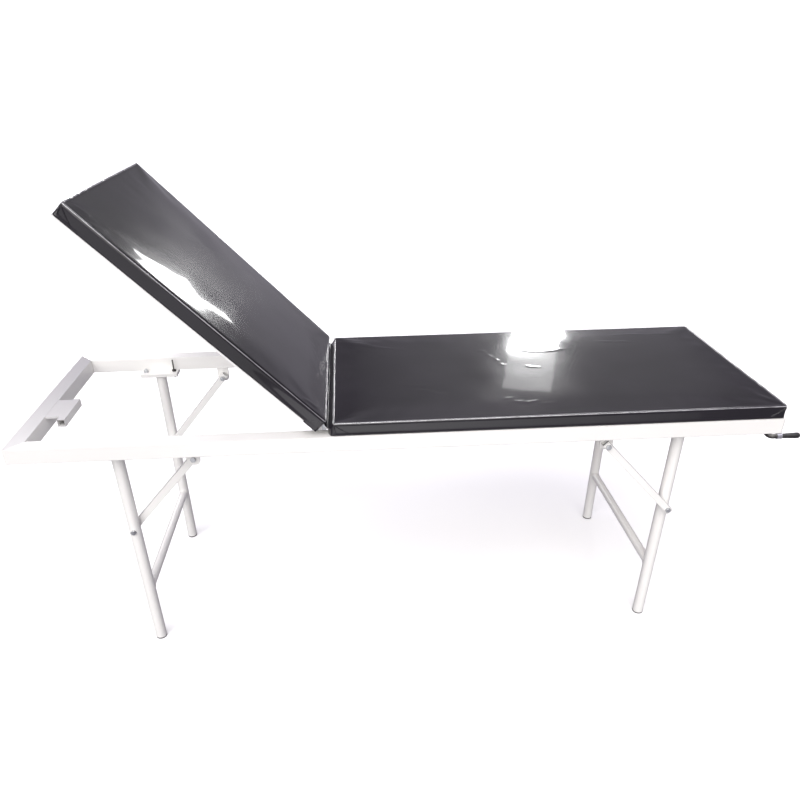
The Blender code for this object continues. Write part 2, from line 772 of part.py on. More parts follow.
def moving_lugs():
    """One lug on each side of the backrest's hinge tube, which sits between a fixed pair."""
    eye = (HINGE_X, HINGE_Z)
    hole = circle(eye, PIN_HOLE_R)
    weld_x = BACK_HINGE_TUBE_X + BACK_TUBE / 2 - WELD
    top = BACK_TUBE_TOP - WELD
    outline = [(BACK_HINGE_X + LUG_INSET, top), (weld_x, top), (weld_x, top - BACK_TUBE + 2 * WELD)]
    outline += arc(eye, MOVING_EYE_R, -80, 130)
    return [plate_solid("moving_lug_%d" % index, [outline, hole], LUG_T, upright(y))
            for index, y in enumerate((-LUG_Y, LUG_Y))]


def make_hinge_pins():
    """A headed pin through each hinge, with a retaining collar on its inner end."""
    half = 1.5 * LUG_T + LUG_GAP + GAP
    head, collar, tip = 0.004, 0.0025, 0.003
    length = 2 * half + head + collar + tip
    profile = [(0, length), (0.008, length), (0.0088, length - 0.001), (0.0088, length - head),
               (PIN_R, length - head), (PIN_R, tip + collar), (0.0078, tip + collar),
               (0.0078, tip), (PIN_R, tip), (PIN_R - 0.001, 0), (0, 0)]
    for side, sign in SIDE_SIGN.items():
        start = sign * (LUG_Y - half - collar - tip)
        pin = turned("hinge_pin_" + side, profile, (HINGE_X, start, HINGE_Z),
                     (HINGE_X, start + sign, HINGE_Z))
        finish_piece(pin, "zinc_steel", couch)


# ---------------------------------------------------------------- backrest drive

def lever_pin_place():
    """The drive pin's centre with the couch flat, as (x, z)."""
    return (HINGE_X + LEVER_R * math.sin(LEVER_SWING), HINGE_Z - LEVER_R * math.cos(LEVER_SWING))


def lever_plates():
    """Two lever plates under the backrest's hinge tube."""
    spot = lever_pin_place()
    top = BACK_TUBE_TOP - BACK_TUBE + WELD
    left = BACK_HINGE_TUBE_X - LEVER_ROOT_HALF
    right = BACK_HINGE_TUBE_X + LEVER_ROOT_HALF
    slope = math.degrees(math.atan2(top - spot[1], spot[0] - BACK_HINGE_TUBE_X))
    outline = [(right, top), (left, top)] + arc(spot, LEVER_EYE_R, -90 - slope, 90 - slope)
    hole = circle(spot, PIN_HOLE_R)
    return [plate_solid("lever_plate_%d" % index, [outline, hole], LUG_T, upright(y))
            for index, y in enumerate((-LEVER_Y, LEVER_Y))]


def make_drive_pin():
    """The pin through both lever plates, which the yoke pushes."""
    spot = lever_pin_place()
    half = LEVER_Y + LUG_T / 2 + GAP
    head = 0.003
    length = 2 * (half + head)
    profile = [(0, length), (0.008, length), (0.008, length - head), (PIN_R, length - head),
               (PIN_R, head), (0.008, head), (0.008, 0), (0, 0)]
    pin = turned("drive_pin", profile, (spot[0], -half - head, spot[1]), (spot[0], 0, spot[1]))
    finish_piece(pin, "zinc_steel", backrest)


def make_push_tube():
    """The slotted yoke, the tube behind it and the nut on the screw."""
    x = lever_pin_place()[0]
    outline = [(x - YOKE_HALF, YOKE_LOW), (x + YOKE_HALF, YOKE_LOW),
               (x + YOKE_HALF, YOKE_HIGH), (x - YOKE_HALF, YOKE_HIGH)]
    slot = arc((x, SLOT_LOW + SLOT_HALF), SLOT_HALF, 180, 360, 6)
    slot += arc((x, SLOT_HIGH - SLOT_HALF), SLOT_HALF, 0, 180, 6)
    side_plate("drive_yoke", [outline, slot], 0.0, YOKE_T, "zinc_steel", push_drive)
    start = x + YOKE_HALF + GAP
    add_ring("push_tube", PUSH_TUBE_R, PUSH_TUBE_BORE, start, PUSH_TUBE_END, "white_paint",
             push_drive)
    add_ring("drive_nut", NUT_R, SCREW_BORE, PUSH_TUBE_END + GAP, PUSH_TUBE_END + NUT_LENGTH,
             "brass", push_drive)


def add_ring(name, radius, bore, x_start, x_end, slot, parent):
    """A pipe or ring on the drive's axis."""
    ring = turned(name, pipe_profile(radius, bore, x_end - x_start), (x_start, 0, DRIVE_Z),
                  (x_end, 0, DRIVE_Z), ring=True)
    return finish_piece(ring, slot, parent)


def hanger(name, x, top, hole_r):
    """A drilled plate that hangs down to the drive's axis, square to it."""
    half = HANGER_HALF
    top += WELD
    outline = [(-half, HANGER_LOW), (half, HANGER_LOW), (half, top), (-half, top)]
    turn = Matrix.Rotation(math.pi / 2, 4, "Z") @ Matrix.Rotation(math.pi / 2, 4, "X")
    return plate_solid(name, [outline, circle((0, DRIVE_Z), hole_r)], HANGER_T,
                       Matrix.Translation((x, 0, 0)) @ turn)


def make_bushes():
    """The push tube's two guide bushes, and the screw's bearing bush."""
    for end, x in zip(LEG_X, CROSS_TUBE_X):
        add_ring("guide_bush_" + end, GUIDE_HOLE_R - GAP, PUSH_TUBE_R + RUNNING_GAP,
                 x - BUSH_HALF, x + BUSH_HALF, "nylon", couch)
    add_ring("screw_bush", BEARING_HOLE_R - GAP, SCREW_BORE, BEARING_X - BUSH_HALF,
             BEARING_X + BUSH_HALF, "brass", couch)


# ---------------------------------------------------------------- screw and crank

def add_rod(name, radius, x_start, x_end, slot, parent):
    """A solid rod on the drive's axis."""
    rod = turned(name, rod_profile(radius, x_end - x_start), (x_start, 0, DRIVE_Z),
                 (x_end, 0, DRIVE_Z))
    return finish_piece(rod, slot, parent)


def make_screw():
    """The lead screw, whose plain end is the crank's shaft, and the collars on each side of
    its bearing."""
    add_rod("lead_screw", SCREW_R, SCREW_START, CRANK_X + HUB_R - 0.001, "zinc_steel", crank)
    inner = BEARING_X - BUSH_HALF - GAP - COLLAR_LENGTH
    outer = BEARING_X + BUSH_HALF + GAP
    for name, x in (("thrust_collar_inner", inner), ("thrust_collar_outer", outer)):
        add_ring(name, COLLAR_R, SCREW_BORE, x, x + COLLAR_LENGTH, "zinc_steel", crank)


def make_crank():
    """The bent crank bar, and the grip that turns on its spindle. The bar is built level,
    pointing to the near side."""
    reach = -CRANK_THROW
    bend = [(CRANK_X + CRANK_BEND_R - CRANK_BEND_R * math.cos(turn),
             reach + CRANK_BEND_R - CRANK_BEND_R * math.sin(turn))
            for turn in [math.pi / 2 * step / 6 for step in range(7)]]
    path = [(CRANK_X, 0.002 - HUB_R)] + bend + [(FERRULE_X - GAP, reach)]
    curve = bpy.data.curves.new("crank_arm", "CURVE")
    curve.dimensions = "3D"
    curve.bevel_depth = CRANK_BAR_R
    curve.bevel_resolution = 4
    curve.use_fill_caps = True
    spline = curve.splines.new("POLY")
    spline.points.add(len(path) - 1)
    for point, (x, y) in zip(spline.points, path):
        point.co = (x, y, DRIVE_Z, 1.0)
    arm = to_mesh(bpy.data.objects.new("crank_arm", curve))
    hub = to_mesh(turned("crank_hub", pipe_profile(HUB_R, SCREW_BORE, 2 * HUB_R),
                         (CRANK_X - HUB_R, 0, DRIVE_Z), (CRANK_X + HUB_R, 0, DRIVE_Z), ring=True))
    weld(arm, [hub], crank)
    finish_piece(arm, "dark_steel", crank)

    ferrule_length = GRIP_X - GAP - FERRULE_X
    ferrule = turned("crank_ferrule", pipe_profile(FERRULE_R, SPINDLE_R + GAP, ferrule_length),
                     (FERRULE_X, reach, DRIVE_Z), (GRIP_X, reach, DRIVE_Z), ring=True)
    finish_piece(ferrule, "chrome", crank)
    length = SPINDLE_END - FERRULE_X
    nut_start = GRIP_END + GAP - FERRULE_X
    nut_end = nut_start + SPINDLE_NUT_LENGTH
    profile = [(0, length), (0.0018, length), (0.0022, nut_end), (SPINDLE_NUT_R, nut_end),
               (SPINDLE_NUT_R, nut_start), (SPINDLE_R, nut_start), (SPINDLE_R, 0), (0, 0)]
    spindle = turned("grip_spindle", profile, (FERRULE_X, reach, DRIVE_Z),
                     (GRIP_X, reach, DRIVE_Z))
    finish_piece(spindle, "zinc_steel", crank)

    length = GRIP_END - GRIP_X
    bore = SPINDLE_R + RUNNING_GAP
    profile = [(bore, length), (0.0068, length), (0.0080, length - 0.0015),
               (0.0082, length - 0.006), (0.0066, 0.006), (0.0062, 0), (bore, 0)]
    handle = turned("crank_grip", profile, (GRIP_X, reach, DRIVE_Z), (GRIP_END, reach, DRIVE_Z),
                    ring=True)
    finish_piece(handle, "black_plastic", grip)


# ---------------------------------------------------------------- assembly

couch = make_pivot("couch_pivot", (0, 0, 0))
backrest = make_pivot("backrest_pivot", (HINGE_X, 0, HINGE_Z), couch)
push_drive = make_pivot("push_drive_pivot", (lever_pin_place()[0], 0, DRIVE_Z), couch)
crank = make_pivot("crank_pivot", (CRANK_X, 0, DRIVE_Z), couch)
grip = make_pivot("grip_pivot", (GRIP_X, -CRANK_THROW, DRIVE_Z), crank)

make_main_frame()
make_cross_tubes()
make_legs()
make_stud()
make_braces()
make_socket()
make_seat()
make_backrest()
make_hinge_pins()
make_drive_pin()
make_push_tube()
make_bushes()
make_screw()
make_crank()

backrest.rotation_euler = (0.0, BACKREST_ANGLE, 0.0)
push_drive.location.x -= DRIVE_PER_RAD * BACKREST_ANGLE
crank.rotation_euler = (CRANK_ANGLE, 0.0, 0.0)
couch.location.x = -ORIGIN_X
bpy.context.view_layer.update()
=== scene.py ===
"""Looks of the examination couch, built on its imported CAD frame.

Metres, in the CAD's own frame: +X towards the foot end and its crank, -Y the near side, +Z up.
The backrest's own pieces are built lying flat and then raised about the hinge.
"""
import json
import math

import bmesh
import bpy
import numpy as np
from mathutils import Matrix, Vector, noise
from mathutils.bvhtree import BVHTree

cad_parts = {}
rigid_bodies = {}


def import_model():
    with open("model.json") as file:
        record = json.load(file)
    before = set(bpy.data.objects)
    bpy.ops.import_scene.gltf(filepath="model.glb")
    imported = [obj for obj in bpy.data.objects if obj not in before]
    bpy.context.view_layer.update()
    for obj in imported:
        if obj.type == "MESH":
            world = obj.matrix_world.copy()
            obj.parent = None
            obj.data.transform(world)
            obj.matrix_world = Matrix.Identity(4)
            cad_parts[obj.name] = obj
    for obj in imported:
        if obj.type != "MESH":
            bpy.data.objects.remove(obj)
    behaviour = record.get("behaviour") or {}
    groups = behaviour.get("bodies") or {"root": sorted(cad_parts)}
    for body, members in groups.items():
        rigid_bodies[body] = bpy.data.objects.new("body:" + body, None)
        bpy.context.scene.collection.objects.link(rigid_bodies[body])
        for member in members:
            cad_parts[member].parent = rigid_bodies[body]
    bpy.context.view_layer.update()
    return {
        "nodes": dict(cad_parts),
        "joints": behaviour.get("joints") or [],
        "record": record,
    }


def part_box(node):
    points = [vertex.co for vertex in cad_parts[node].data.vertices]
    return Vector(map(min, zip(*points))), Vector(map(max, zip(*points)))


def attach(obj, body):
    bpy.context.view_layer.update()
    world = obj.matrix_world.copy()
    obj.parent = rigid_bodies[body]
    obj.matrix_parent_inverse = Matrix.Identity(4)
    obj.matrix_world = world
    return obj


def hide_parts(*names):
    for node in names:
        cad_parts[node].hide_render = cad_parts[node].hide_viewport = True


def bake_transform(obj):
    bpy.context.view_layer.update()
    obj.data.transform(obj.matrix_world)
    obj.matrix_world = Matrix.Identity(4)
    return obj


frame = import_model()
NODES = frame["nodes"]
JOINTS = {joint["name"]: joint for joint in frame["joints"]}
SLOTS = {part["node"]: part["material_slot"] for part in frame["record"]["subparts"]}

HINGE = Vector(JOINTS["backrest_tilt"]["pos_m"])
RAISED = -math.radians(JOINTS["backrest_tilt"]["range_deg"][0])
RAISE = Matrix.Translation(HINGE) @ Matrix.Rotation(RAISED, 4, "Y") @ Matrix.Translation(-HINGE)
DRIVE_AXIS = Vector(JOINTS["crank_turn"]["pos_m"])


# ------------------------------------------------------------------ camera, light and floor

CAMERA_PLACE = (-0.20215, -1.76277, 1.45922)
CAMERA_YAW = 3.0008
CAMERA_PITCH = 31.173
CAMERA_ROLL = -0.8646
CAMERA_LENS = 30.688
CAMERA_SHIFT = (0.01536, 0.08643)


def add_camera():
    """The camera: yaw towards the foot end, pitch down and a slight roll, in degrees."""
    yaw, pitch = math.radians(CAMERA_YAW), math.radians(CAMERA_PITCH)
    roll = math.radians(CAMERA_ROLL)
    ahead = Vector((math.sin(yaw) * math.cos(pitch), math.cos(yaw) * math.cos(pitch),
                    -math.sin(pitch)))
    right = Vector((math.cos(yaw), -math.sin(yaw), 0.0))
    up = right.cross(ahead)
    level_right = right * math.cos(roll) + up * math.sin(roll)
    level_up = up * math.cos(roll) - right * math.sin(roll)
    data = bpy.data.cameras.new("camera")
    data.sensor_width = 36.0
    data.lens = CAMERA_LENS
    data.shift_x, data.shift_y = CAMERA_SHIFT
    data.clip_end = 200.0
    camera = bpy.data.objects.new("camera", data)
    turn = Matrix((level_right, level_up, -ahead)).transposed().to_4x4()
    camera.matrix_world = Matrix.Translation(CAMERA_PLACE) @ turn
    bpy.context.scene.collection.objects.link(camera)
    bpy.context.scene.camera = camera


def add_area(name, place, target, size, power):
    """A rectangular soft light that faces its target and isn't seen by the camera."""
    data = bpy.data.lights.new(name, "AREA")
    data.shape = "RECTANGLE"
    data.size, data.size_y = size
    data.energy = power
    lamp = bpy.data.objects.new(name, data)
    direction = Vector(target) - Vector(place)
    lamp.location = place
    lamp.rotation_euler = direction.to_track_quat("-Z", "Y").to_euler()
    lamp.visible_camera = False
    bpy.context.scene.collection.objects.link(lamp)
    return lamp


def aim(azimuth, elevation):
    """The direction towards a point of the sky; azimuth runs from +Y towards +X, in degrees."""
    azimuth, elevation = math.radians(azimuth), math.radians(elevation)
    return Vector((math.sin(azimuth) * math.cos(elevation),
                   math.cos(azimuth) * math.cos(elevation), math.sin(elevation)))


# Sky: (height of the direction, brightness), and the glow's azimuth, elevation and reach.
SKY_LEVELS = ((0.0, 0.30), (0.03, 0.40), (0.12, 0.44), (0.21, 0.34), (0.29, 0.165), (0.45, 0.145),
              (0.62, 0.50), (0.85, 1.00))
SKY_TINT = (1.0, 0.955, 1.08)
GLOW_AIM = (17.0, 27.0)
GLOW_REACH = 19.0
GLOW_LEVEL = 0.22
SUN_COLOR = (1.0, 0.985, 0.955)
SUN_SOFTNESS = 75.0

# Windows: (name, azimuth, elevation, size, power), as seen from a point on the couch.
WINDOW_DISTANCE = 16.0
SEAT_POINT = Vector((0.2, 0.0, 0.72))
BACK_POINT = Vector((-0.7, 0.0, 0.95))
SEAT_WINDOWS = (("window", 16.05, 15.8, (1.30, 2.7), 170.0),)
BACK_WINDOWS = (("back_window", 20.75, 17.55, (1.31, 1.79), 113.0),
                ("back_window_foot", 21.9, 12.75, (0.45, 0.90), 19.6))

# Lamps that only the gloss shows: (name, place, size, power).
LAMP_TARGET = (0.0, 0.0, 0.7)
LAMPS = (("over_window", SEAT_POINT + aim(16.05, 23.1) * WINDOW_DISTANCE, (1.25, 1.35), 9.0),
         ("ceiling_strip", (0.2, -0.5, 7.0), (9.0, 1.1), 520.0),
         ("left_window", (-6.0, 12.0, 4.6), (2.6, 4.0), 260.0),
         ("left_wall_lamp", (-12.0, 6.0, 3.2), (2.0, 3.0), 150.0),
         ("near_left_lamp", (-1.1, -2.2, 0.5), (1.6, 1.0), 4.0),
         ("head_edge_lamp", (-6.2, 13.6, 5.6), (1.7, 5.6), 200.0),
         ("near_floor_lamp", (0.2, -1.4, 0.03), (2.2, 0.5), 0.61))
OFF_HEAD_END = ("ceiling_strip", "left_window", "left_wall_lamp", "head_edge_lamp")


def add_sky():
    """A pale sky, brighter low down and overhead, with a soft glow above the far window."""
    world = bpy.data.worlds.new("studio")
    bpy.context.scene.world = world
    world.use_nodes = True
    tree = world.node_tree
    tree.nodes.clear()
    coordinates = tree.nodes.new("ShaderNodeTexCoord")
    separate = tree.nodes.new("ShaderNodeSeparateXYZ")
    ramp = tree.nodes.new("ShaderNodeValToRGB")
    toward = tree.nodes.new("ShaderNodeVectorMath")
    halo = tree.nodes.new("ShaderNodeMapRange")
    total = tree.nodes.new("ShaderNodeMixRGB")
    background = tree.nodes.new("ShaderNodeBackground")
    output = tree.nodes.new("ShaderNodeOutputWorld")
    elements = ramp.color_ramp.elements
    elements[0].position = SKY_LEVELS[0][0]
    elements[1].position = SKY_LEVELS[-1][0]
    for position, _ in SKY_LEVELS[1:-1]:
        elements.new(position)
    for element, (_, level) in zip(elements, SKY_LEVELS):
        element.color = (*(level * share for share in SKY_TINT), 1.0)
    toward.operation = "DOT_PRODUCT"
    toward.inputs[1].default_value = aim(*GLOW_AIM)
    halo.interpolation_type = "SMOOTHSTEP"
    halo.inputs["From Min"].default_value = math.cos(math.radians(GLOW_REACH))
    halo.inputs["From Max"].default_value = 1.0
    halo.inputs["To Max"].default_value = GLOW_LEVEL
    total.blend_type = "ADD"
    total.inputs["Fac"].default_value = 1.0
    background.inputs["Strength"].default_value = 1.0
    for source, target in ((coordinates.outputs["Generated"], separate.inputs[0]),
                           (separate.outputs["Z"], ramp.inputs["Fac"]),
                           (coordinates.outputs["Generated"], toward.inputs[0]),
                           (toward.outputs["Value"], halo.inputs["Value"]),
                           (ramp.outputs["Color"], total.inputs["Color1"]),
                           (halo.outputs["Result"], total.inputs["Color2"]),
                           (total.outputs["Color"], background.inputs["Color"]),
                           (background.outputs[0], output.inputs[0])):
        tree.links.new(source, target)


def add_sun(name, energy, direction):
    """A very soft sun that shines in a direction."""
    data = bpy.data.lights.new(name, "SUN")
    data.energy = energy
    data.color = SUN_COLOR
    data.angle = math.radians(SUN_SOFTNESS)
    sun = bpy.data.objects.new(name, data)
    sun.rotation_euler = Vector(direction).to_track_quat("-Z", "Y").to_euler()
    bpy.context.scene.collection.objects.link(sun)
    return sun


def add_windows(seen_from, windows, diffuse):
    """Far windows, each at an azimuth and elevation as seen from a point."""
    lamps = []
    for name, azimuth, elevation, size, power in windows:
        place = Vector(seen_from) + aim(azimuth, elevation) * WINDOW_DISTANCE
        lamp = add_area(name, place, seen_from, size, power)
        lamp.visible_diffuse = diffuse
        lamps.append(lamp)
    return lamps


def add_light():
    """The sky, two soft suns, and the windows and lamps that the gloss mirrors. Returns four
    lists: lamps that miss the backrest, that light only the backrest, that light only the
    head rail, and that miss the head rail."""
    add_sky()
    softbox = add_sun("softbox", 3.5, (0.30, 0.95, -0.75))
    head_softbox = add_sun("head_end_softbox", 1.25, (-0.44, 0.30, -0.18))
    for_seat = add_windows(SEAT_POINT, SEAT_WINDOWS, True)
    lamps = {}
    for name, place, size, power in LAMPS:
        lamps[name] = add_area(name, place, LAMP_TARGET, size, power)
        lamps[name].visible_diffuse = False
    low = lamps["near_floor_lamp"]
    low.rotation_euler = Vector((-0.02, 1.24, 0.66)).to_track_quat("-Z", "Y").to_euler()
    low.data.spread = math.radians(62.0)
    corner = add_area("head_corner_lamp", (-1.0, -0.55, 1.15), (-1.0, -0.25, 0.67),
                      (0.3, 0.3), 1.8)
    for_back = add_windows(BACK_POINT, BACK_WINDOWS, False)
    return (for_seat + [lamps["over_window"]], for_back, [head_softbox, corner],
            [softbox] + [lamps[name] for name in OFF_HEAD_END])


def share_light(lamps, pieces, state):
    """Lamps that light only these pieces (INCLUDE) or everything but them (EXCLUDE)."""
    for lamp in lamps:
        receivers = bpy.data.collections.new(lamp.name + "_receivers")
        for piece in pieces:
            receivers.objects.link(piece)
        for entry in receivers.collection_objects:
            entry.light_linking.link_state = state
        lamp.light_linking.receiver_collection = receivers


def stage_paint(name, emission, roughness):
    """Pale paint that glows a little."""
    material = make_material(name)
    shader = material.node_tree.nodes["Principled BSDF"]
    speckle(material, "Base Color", (0.89, 0.89, 0.89), (0.92, 0.92, 0.92), 3.0)
    shader.inputs["Emission Strength"].default_value = emission
    shader.inputs["Emission Color"].default_value = (1.0, 1.0, 1.0, 1.0)
    shader.inputs["Roughness"].default_value = roughness
    return material


def add_floor():
    """A wide pale floor and a pale wall all round it at a distance. Neither is seen in
    reflections or lights the couch, so that the vinyl mirrors the sky's own tones."""
    radius, height, sides = 24.0, 22.0, 64
    turns = [2 * math.pi * k / sides for k in range(sides)]
    bm = bmesh.new()
    bm.faces.new([bm.verts.new((radius * math.cos(t), radius * math.sin(t), 0.0))
                  for t in turns])
    floor = new_object("floor", bm)
    paint = stage_paint("floor_paint", 0.22, 0.9)
    paint.node_tree.nodes["Principled BSDF"].inputs["Specular IOR Level"].default_value = 0.1
    floor.data.materials.append(paint)
    bm = bmesh.new()
    rings = [[(radius * math.cos(t), radius * math.sin(t), z) for t in reversed(turns)]
             for z in (0.0, height)]
    skin(bm, rings, cap=False)
    wall = new_object("backdrop", bm)
    wall.data.materials.append(stage_paint("backdrop_paint", 0.45, 1.0))
    wall.visible_shadow = False
    for piece in (floor, wall):
        piece.visible_glossy = False
        piece.visible_diffuse = False


# ------------------------------------------------------------------ mesh helpers

def new_object(name, bm):
    """An object from a bmesh, in the scene."""
    mesh = bpy.data.meshes.new(name)
    bm.to_mesh(mesh)
    bm.free()
    piece = bpy.data.objects.new(name, mesh)
    bpy.context.scene.collection.objects.link(piece)
    return piece


def smooth(piece, degrees=35.0):
    """Smooth shading that keeps the sharp edges."""
    piece.data.shade_smooth()
    piece.data.set_sharp_from_angle(angle=math.radians(degrees))
    return piece


def join_rings(bm, loops):
    """Faces between neighbouring closed rings of vertices."""
    for lower, upper in zip(loops, loops[1:]):
        count = len(lower)
        for i in range(count):
            j = (i + 1) % count
            bm.faces.new((lower[i], lower[j], upper[j], upper[i]))


def skin(bm, rings, cap=True):
    """Faces between closed rings of equal point count, and over both ends."""
    loops = [[bm.verts.new(point) for point in ring] for ring in rings]
    join_rings(bm, loops)
    if cap:
        bm.faces.new(list(reversed(loops[0])))
        bm.faces.new(loops[-1])


def sweep(bm, points, radius, sides=8, closed=False, wobble=0.0):
    """A round bead along a line of points; wobble varies its thickness."""
    rings = []
    count = len(points)
    for i, point in enumerate(points):
        before = points[i - 1] if i or closed else points[i]
        after = points[(i + 1) % count] if closed or i < count - 1 else points[i]
        along = (Vector(after) - Vector(before)).normalized()
        side = along.cross(Vector((0.0, 0.0, 1.0)))
        if side.length < 0.1:
            side = along.cross(Vector((0.0, 1.0, 0.0)))
        side.normalize()
        lift = side.cross(along)
        size = radius * (1.0 + wobble * noise.noise(Vector(point) * 260.0))
        rings.append([Vector(point) + (side * math.cos(turn) + lift * math.sin(turn)) * size
                      for turn in [2 * math.pi * k / sides for k in range(sides)]])
    if closed:
        loops = [[bm.verts.new(point) for point in ring] for ring in rings]
        join_rings(bm, loops + loops[:1])
    else:
        skin(bm, rings)


# ------------------------------------------------------------------ materials

def make_material(name):
    """A new node material with a Principled shader."""
    material = bpy.data.materials.new(name)
    material.use_nodes = True
    return material


def node(material, kind, **values):
    """A node in a material, with its inputs set by name."""
    made = material.node_tree.nodes.new(kind)
    for key, value in values.items():
        made.inputs[key].default_value = value
    return made


def object_noise(material, scale, detail=3.0, roughness=0.5, stretch=None):
    """A noise texture over the piece's own coordinates, in metres."""
    coordinates = node(material, "ShaderNodeTexCoord")
    texture = node(material, "ShaderNodeTexNoise", Scale=scale, Detail=detail,
                   Roughness=roughness)
    source = coordinates.outputs["Object"]
    if stretch:
        mapping = node(material, "ShaderNodeMapping")
        mapping.inputs["Scale"].default_value = stretch
        material.node_tree.links.new(source, mapping.inputs["Vector"])
        source = mapping.outputs["Vector"]
    material.node_tree.links.new(source, texture.inputs["Vector"])
    return texture.outputs["Fac"]


def ramp_between(material, source, low, high, start=0.35, end=0.65):
    """A colour ramp between two colours or grey levels."""
    ramp = node(material, "ShaderNodeValToRGB")
    ramp.color_ramp.elements[0].position = start
    ramp.color_ramp.elements[1].position = end
    for element, value in zip(ramp.color_ramp.elements, (low, high)):
        element.color = (*value, 1.0) if isinstance(value, tuple) else (value, value, value, 1.0)
    material.node_tree.links.new(source, ramp.inputs["Fac"])
    return ramp.outputs["Color"]


def speckle(material, socket, low, high, scale, detail=3.0, stretch=None):
    """Varies one of the shader's inputs with noise."""
    shader = material.node_tree.nodes["Principled BSDF"]
    source = object_noise(material, scale, detail, stretch=stretch)
    color = ramp_between(material, source, low, high)
    material.node_tree.links.new(color, shader.inputs[socket])


def add_bumps(material, layers):
    """A chain of bumps. Each layer is (noise scale, distance in metres, strength, stretch)."""
    shader = material.node_tree.nodes["Principled BSDF"]
    previous = None
    for scale, distance, strength, stretch in layers:
        bump = node(material, "ShaderNodeBump", Distance=distance, Strength=strength)
        source = object_noise(material, scale, 4.0, stretch=stretch)
        material.node_tree.links.new(source, bump.inputs["Height"])
        if previous:
            material.node_tree.links.new(previous, bump.inputs["Normal"])
        previous = bump.outputs["Normal"]
    material.node_tree.links.new(previous, shader.inputs["Normal"])


def rounded_edges(material, radius):
    """Shading that rounds the sharp edges, under whatever bumps the material has."""
    shader = material.node_tree.nodes["Principled BSDF"]
    bevel = node(material, "ShaderNodeBevel", Radius=radius)
    bevel.samples = 4
    bumps = [link.from_node for link in shader.inputs["Normal"].links]
    if not bumps:
        material.node_tree.links.new(bevel.outputs["Normal"], shader.inputs["Normal"])
        return
    first = bumps[0]
    while first.inputs["Normal"].is_linked:
        first = first.inputs["Normal"].links[0].from_node
    material.node_tree.links.new(bevel.outputs["Normal"], first.inputs["Normal"])


def white_paint():
    """White enamel over steel: very slightly uneven in tone, gloss and level."""
    material = make_material("white_enamel")
    shader = material.node_tree.nodes["Principled BSDF"]
    speckle(material, "Base Color", (0.852, 0.844, 0.820), (0.872, 0.865, 0.842), 3.5, 3.0)
    speckle(material, "Roughness", 0.30, 0.35, 14.0)
    shader.inputs["Specular IOR Level"].default_value = 0.5
    shader.inputs["Coat Weight"].default_value = 0.25
    shader.inputs["Coat Roughness"].default_value = 0.12
    add_bumps(material, [(18.0, 0.0003, 0.12, None), (420.0, 0.0001, 0.25, None)])
    rounded_edges(material, 0.0025)
    return material


def white_board():
    """Painted board: white with a faint lengthwise grain."""
    material = make_material("white_painted_board")
    speckle(material, "Base Color", (0.78, 0.78, 0.765), (0.85, 0.85, 0.84), 9.0, 5.0,
            stretch=(0.25, 2.5, 1.0))
    speckle(material, "Roughness", 0.38, 0.55, 30.0)
    add_bumps(material, [(60.0, 0.0002, 0.4, (0.12, 2.0, 1.0)), (380.0, 0.0001, 0.4, None)])
    return material


def black_vinyl():
    """Glossy black upholstery vinyl with a faint purple cast: a fine grain, scuffs that dull
    it in places, and slow waves that bend what it mirrors."""
    material = make_material("glossy_black_vinyl")
    shader = material.node_tree.nodes["Principled BSDF"]
    speckle(material, "Base Color", (0.008, 0.0068, 0.0095), (0.014, 0.0120, 0.0165), 5.0, 6.0)
    speckle(material, "Roughness", 0.15, 0.23, 6.0, 6.0)
    shader.inputs["Specular IOR Level"].default_value = 0.20
    shader.inputs["Coat Weight"].default_value = 0.75
    shader.inputs["Coat Roughness"].default_value = 0.045
    shader.inputs["Coat IOR"].default_value = 1.45
    add_bumps(material, [(5.0, 0.0022, 0.30, (1.0, 0.7, 1.0)), (26.0, 0.0003, 0.10, None),
                         (900.0, 0.00006, 0.03, None)])
    return material


def painted_highlight_vinyl():
    """The same vinyl on the rolled edges, glossier, with a much paler base colour that is a
    painted highlight for the bright lines along the edges.
    """
    material = make_material("painted_highlight_vinyl")
    shader = material.node_tree.nodes["Principled BSDF"]
    # Pale base colour: painted highlight along the edges, not the vinyl's own tone.
    speckle(material, "Base Color", (0.10, 0.097, 0.105), (0.34, 0.335, 0.35), 22.0, 5.0)
    speckle(material, "Roughness", 0.10, 0.20, 30.0, 4.0)
    shader.inputs["Specular IOR Level"].default_value = 0.9
    shader.inputs["Coat Weight"].default_value = 1.0
    shader.inputs["Coat Roughness"].default_value = 0.05
    shader.inputs["Coat IOR"].default_value = 2.0
    add_bumps(material, [(60.0, 0.0003, 0.25, None)])
    return material


def plywood():
    """Bare plywood, with its grain along the couch."""
    material = make_material("bare_plywood")
    speckle(material, "Base Color", (0.40, 0.27, 0.15), (0.62, 0.46, 0.29), 14.0, 8.0,
            stretch=(0.15, 3.0, 1.0))
    speckle(material, "Roughness", 0.55, 0.75, 40.0)
    add_bumps(material, [(70.0, 0.0003, 0.5, (0.1, 3.0, 1.0))])
    return material


def metal(name, low, high, roughness, scale=60.0, stretch=None, bumps=0.00006):
    """A bare or plated metal whose tone and polish vary."""
    material = make_material(name)
    shader = material.node_tree.nodes["Principled BSDF"]
    shader.inputs["Metallic"].default_value = 1.0
    speckle(material, "Base Color", low, high, scale, 6.0, stretch=stretch)
    speckle(material, "Roughness", roughness[0], roughness[1], scale * 1.7, 4.0, stretch=stretch)
    add_bumps(material, [(scale * 8.0, bumps, 0.5, stretch)])
    return material


def dull(name, low, high, roughness, scale, bump):
    """Rubber or moulded plastic with a fine surface."""
    material = make_material(name)
    speckle(material, "Base Color", low, high, scale, 5.0)
    speckle(material, "Roughness", roughness[0], roughness[1], scale * 2.0, 4.0)
    add_bumps(material, [(scale * 20.0, bump, 0.5, None)])
    return material


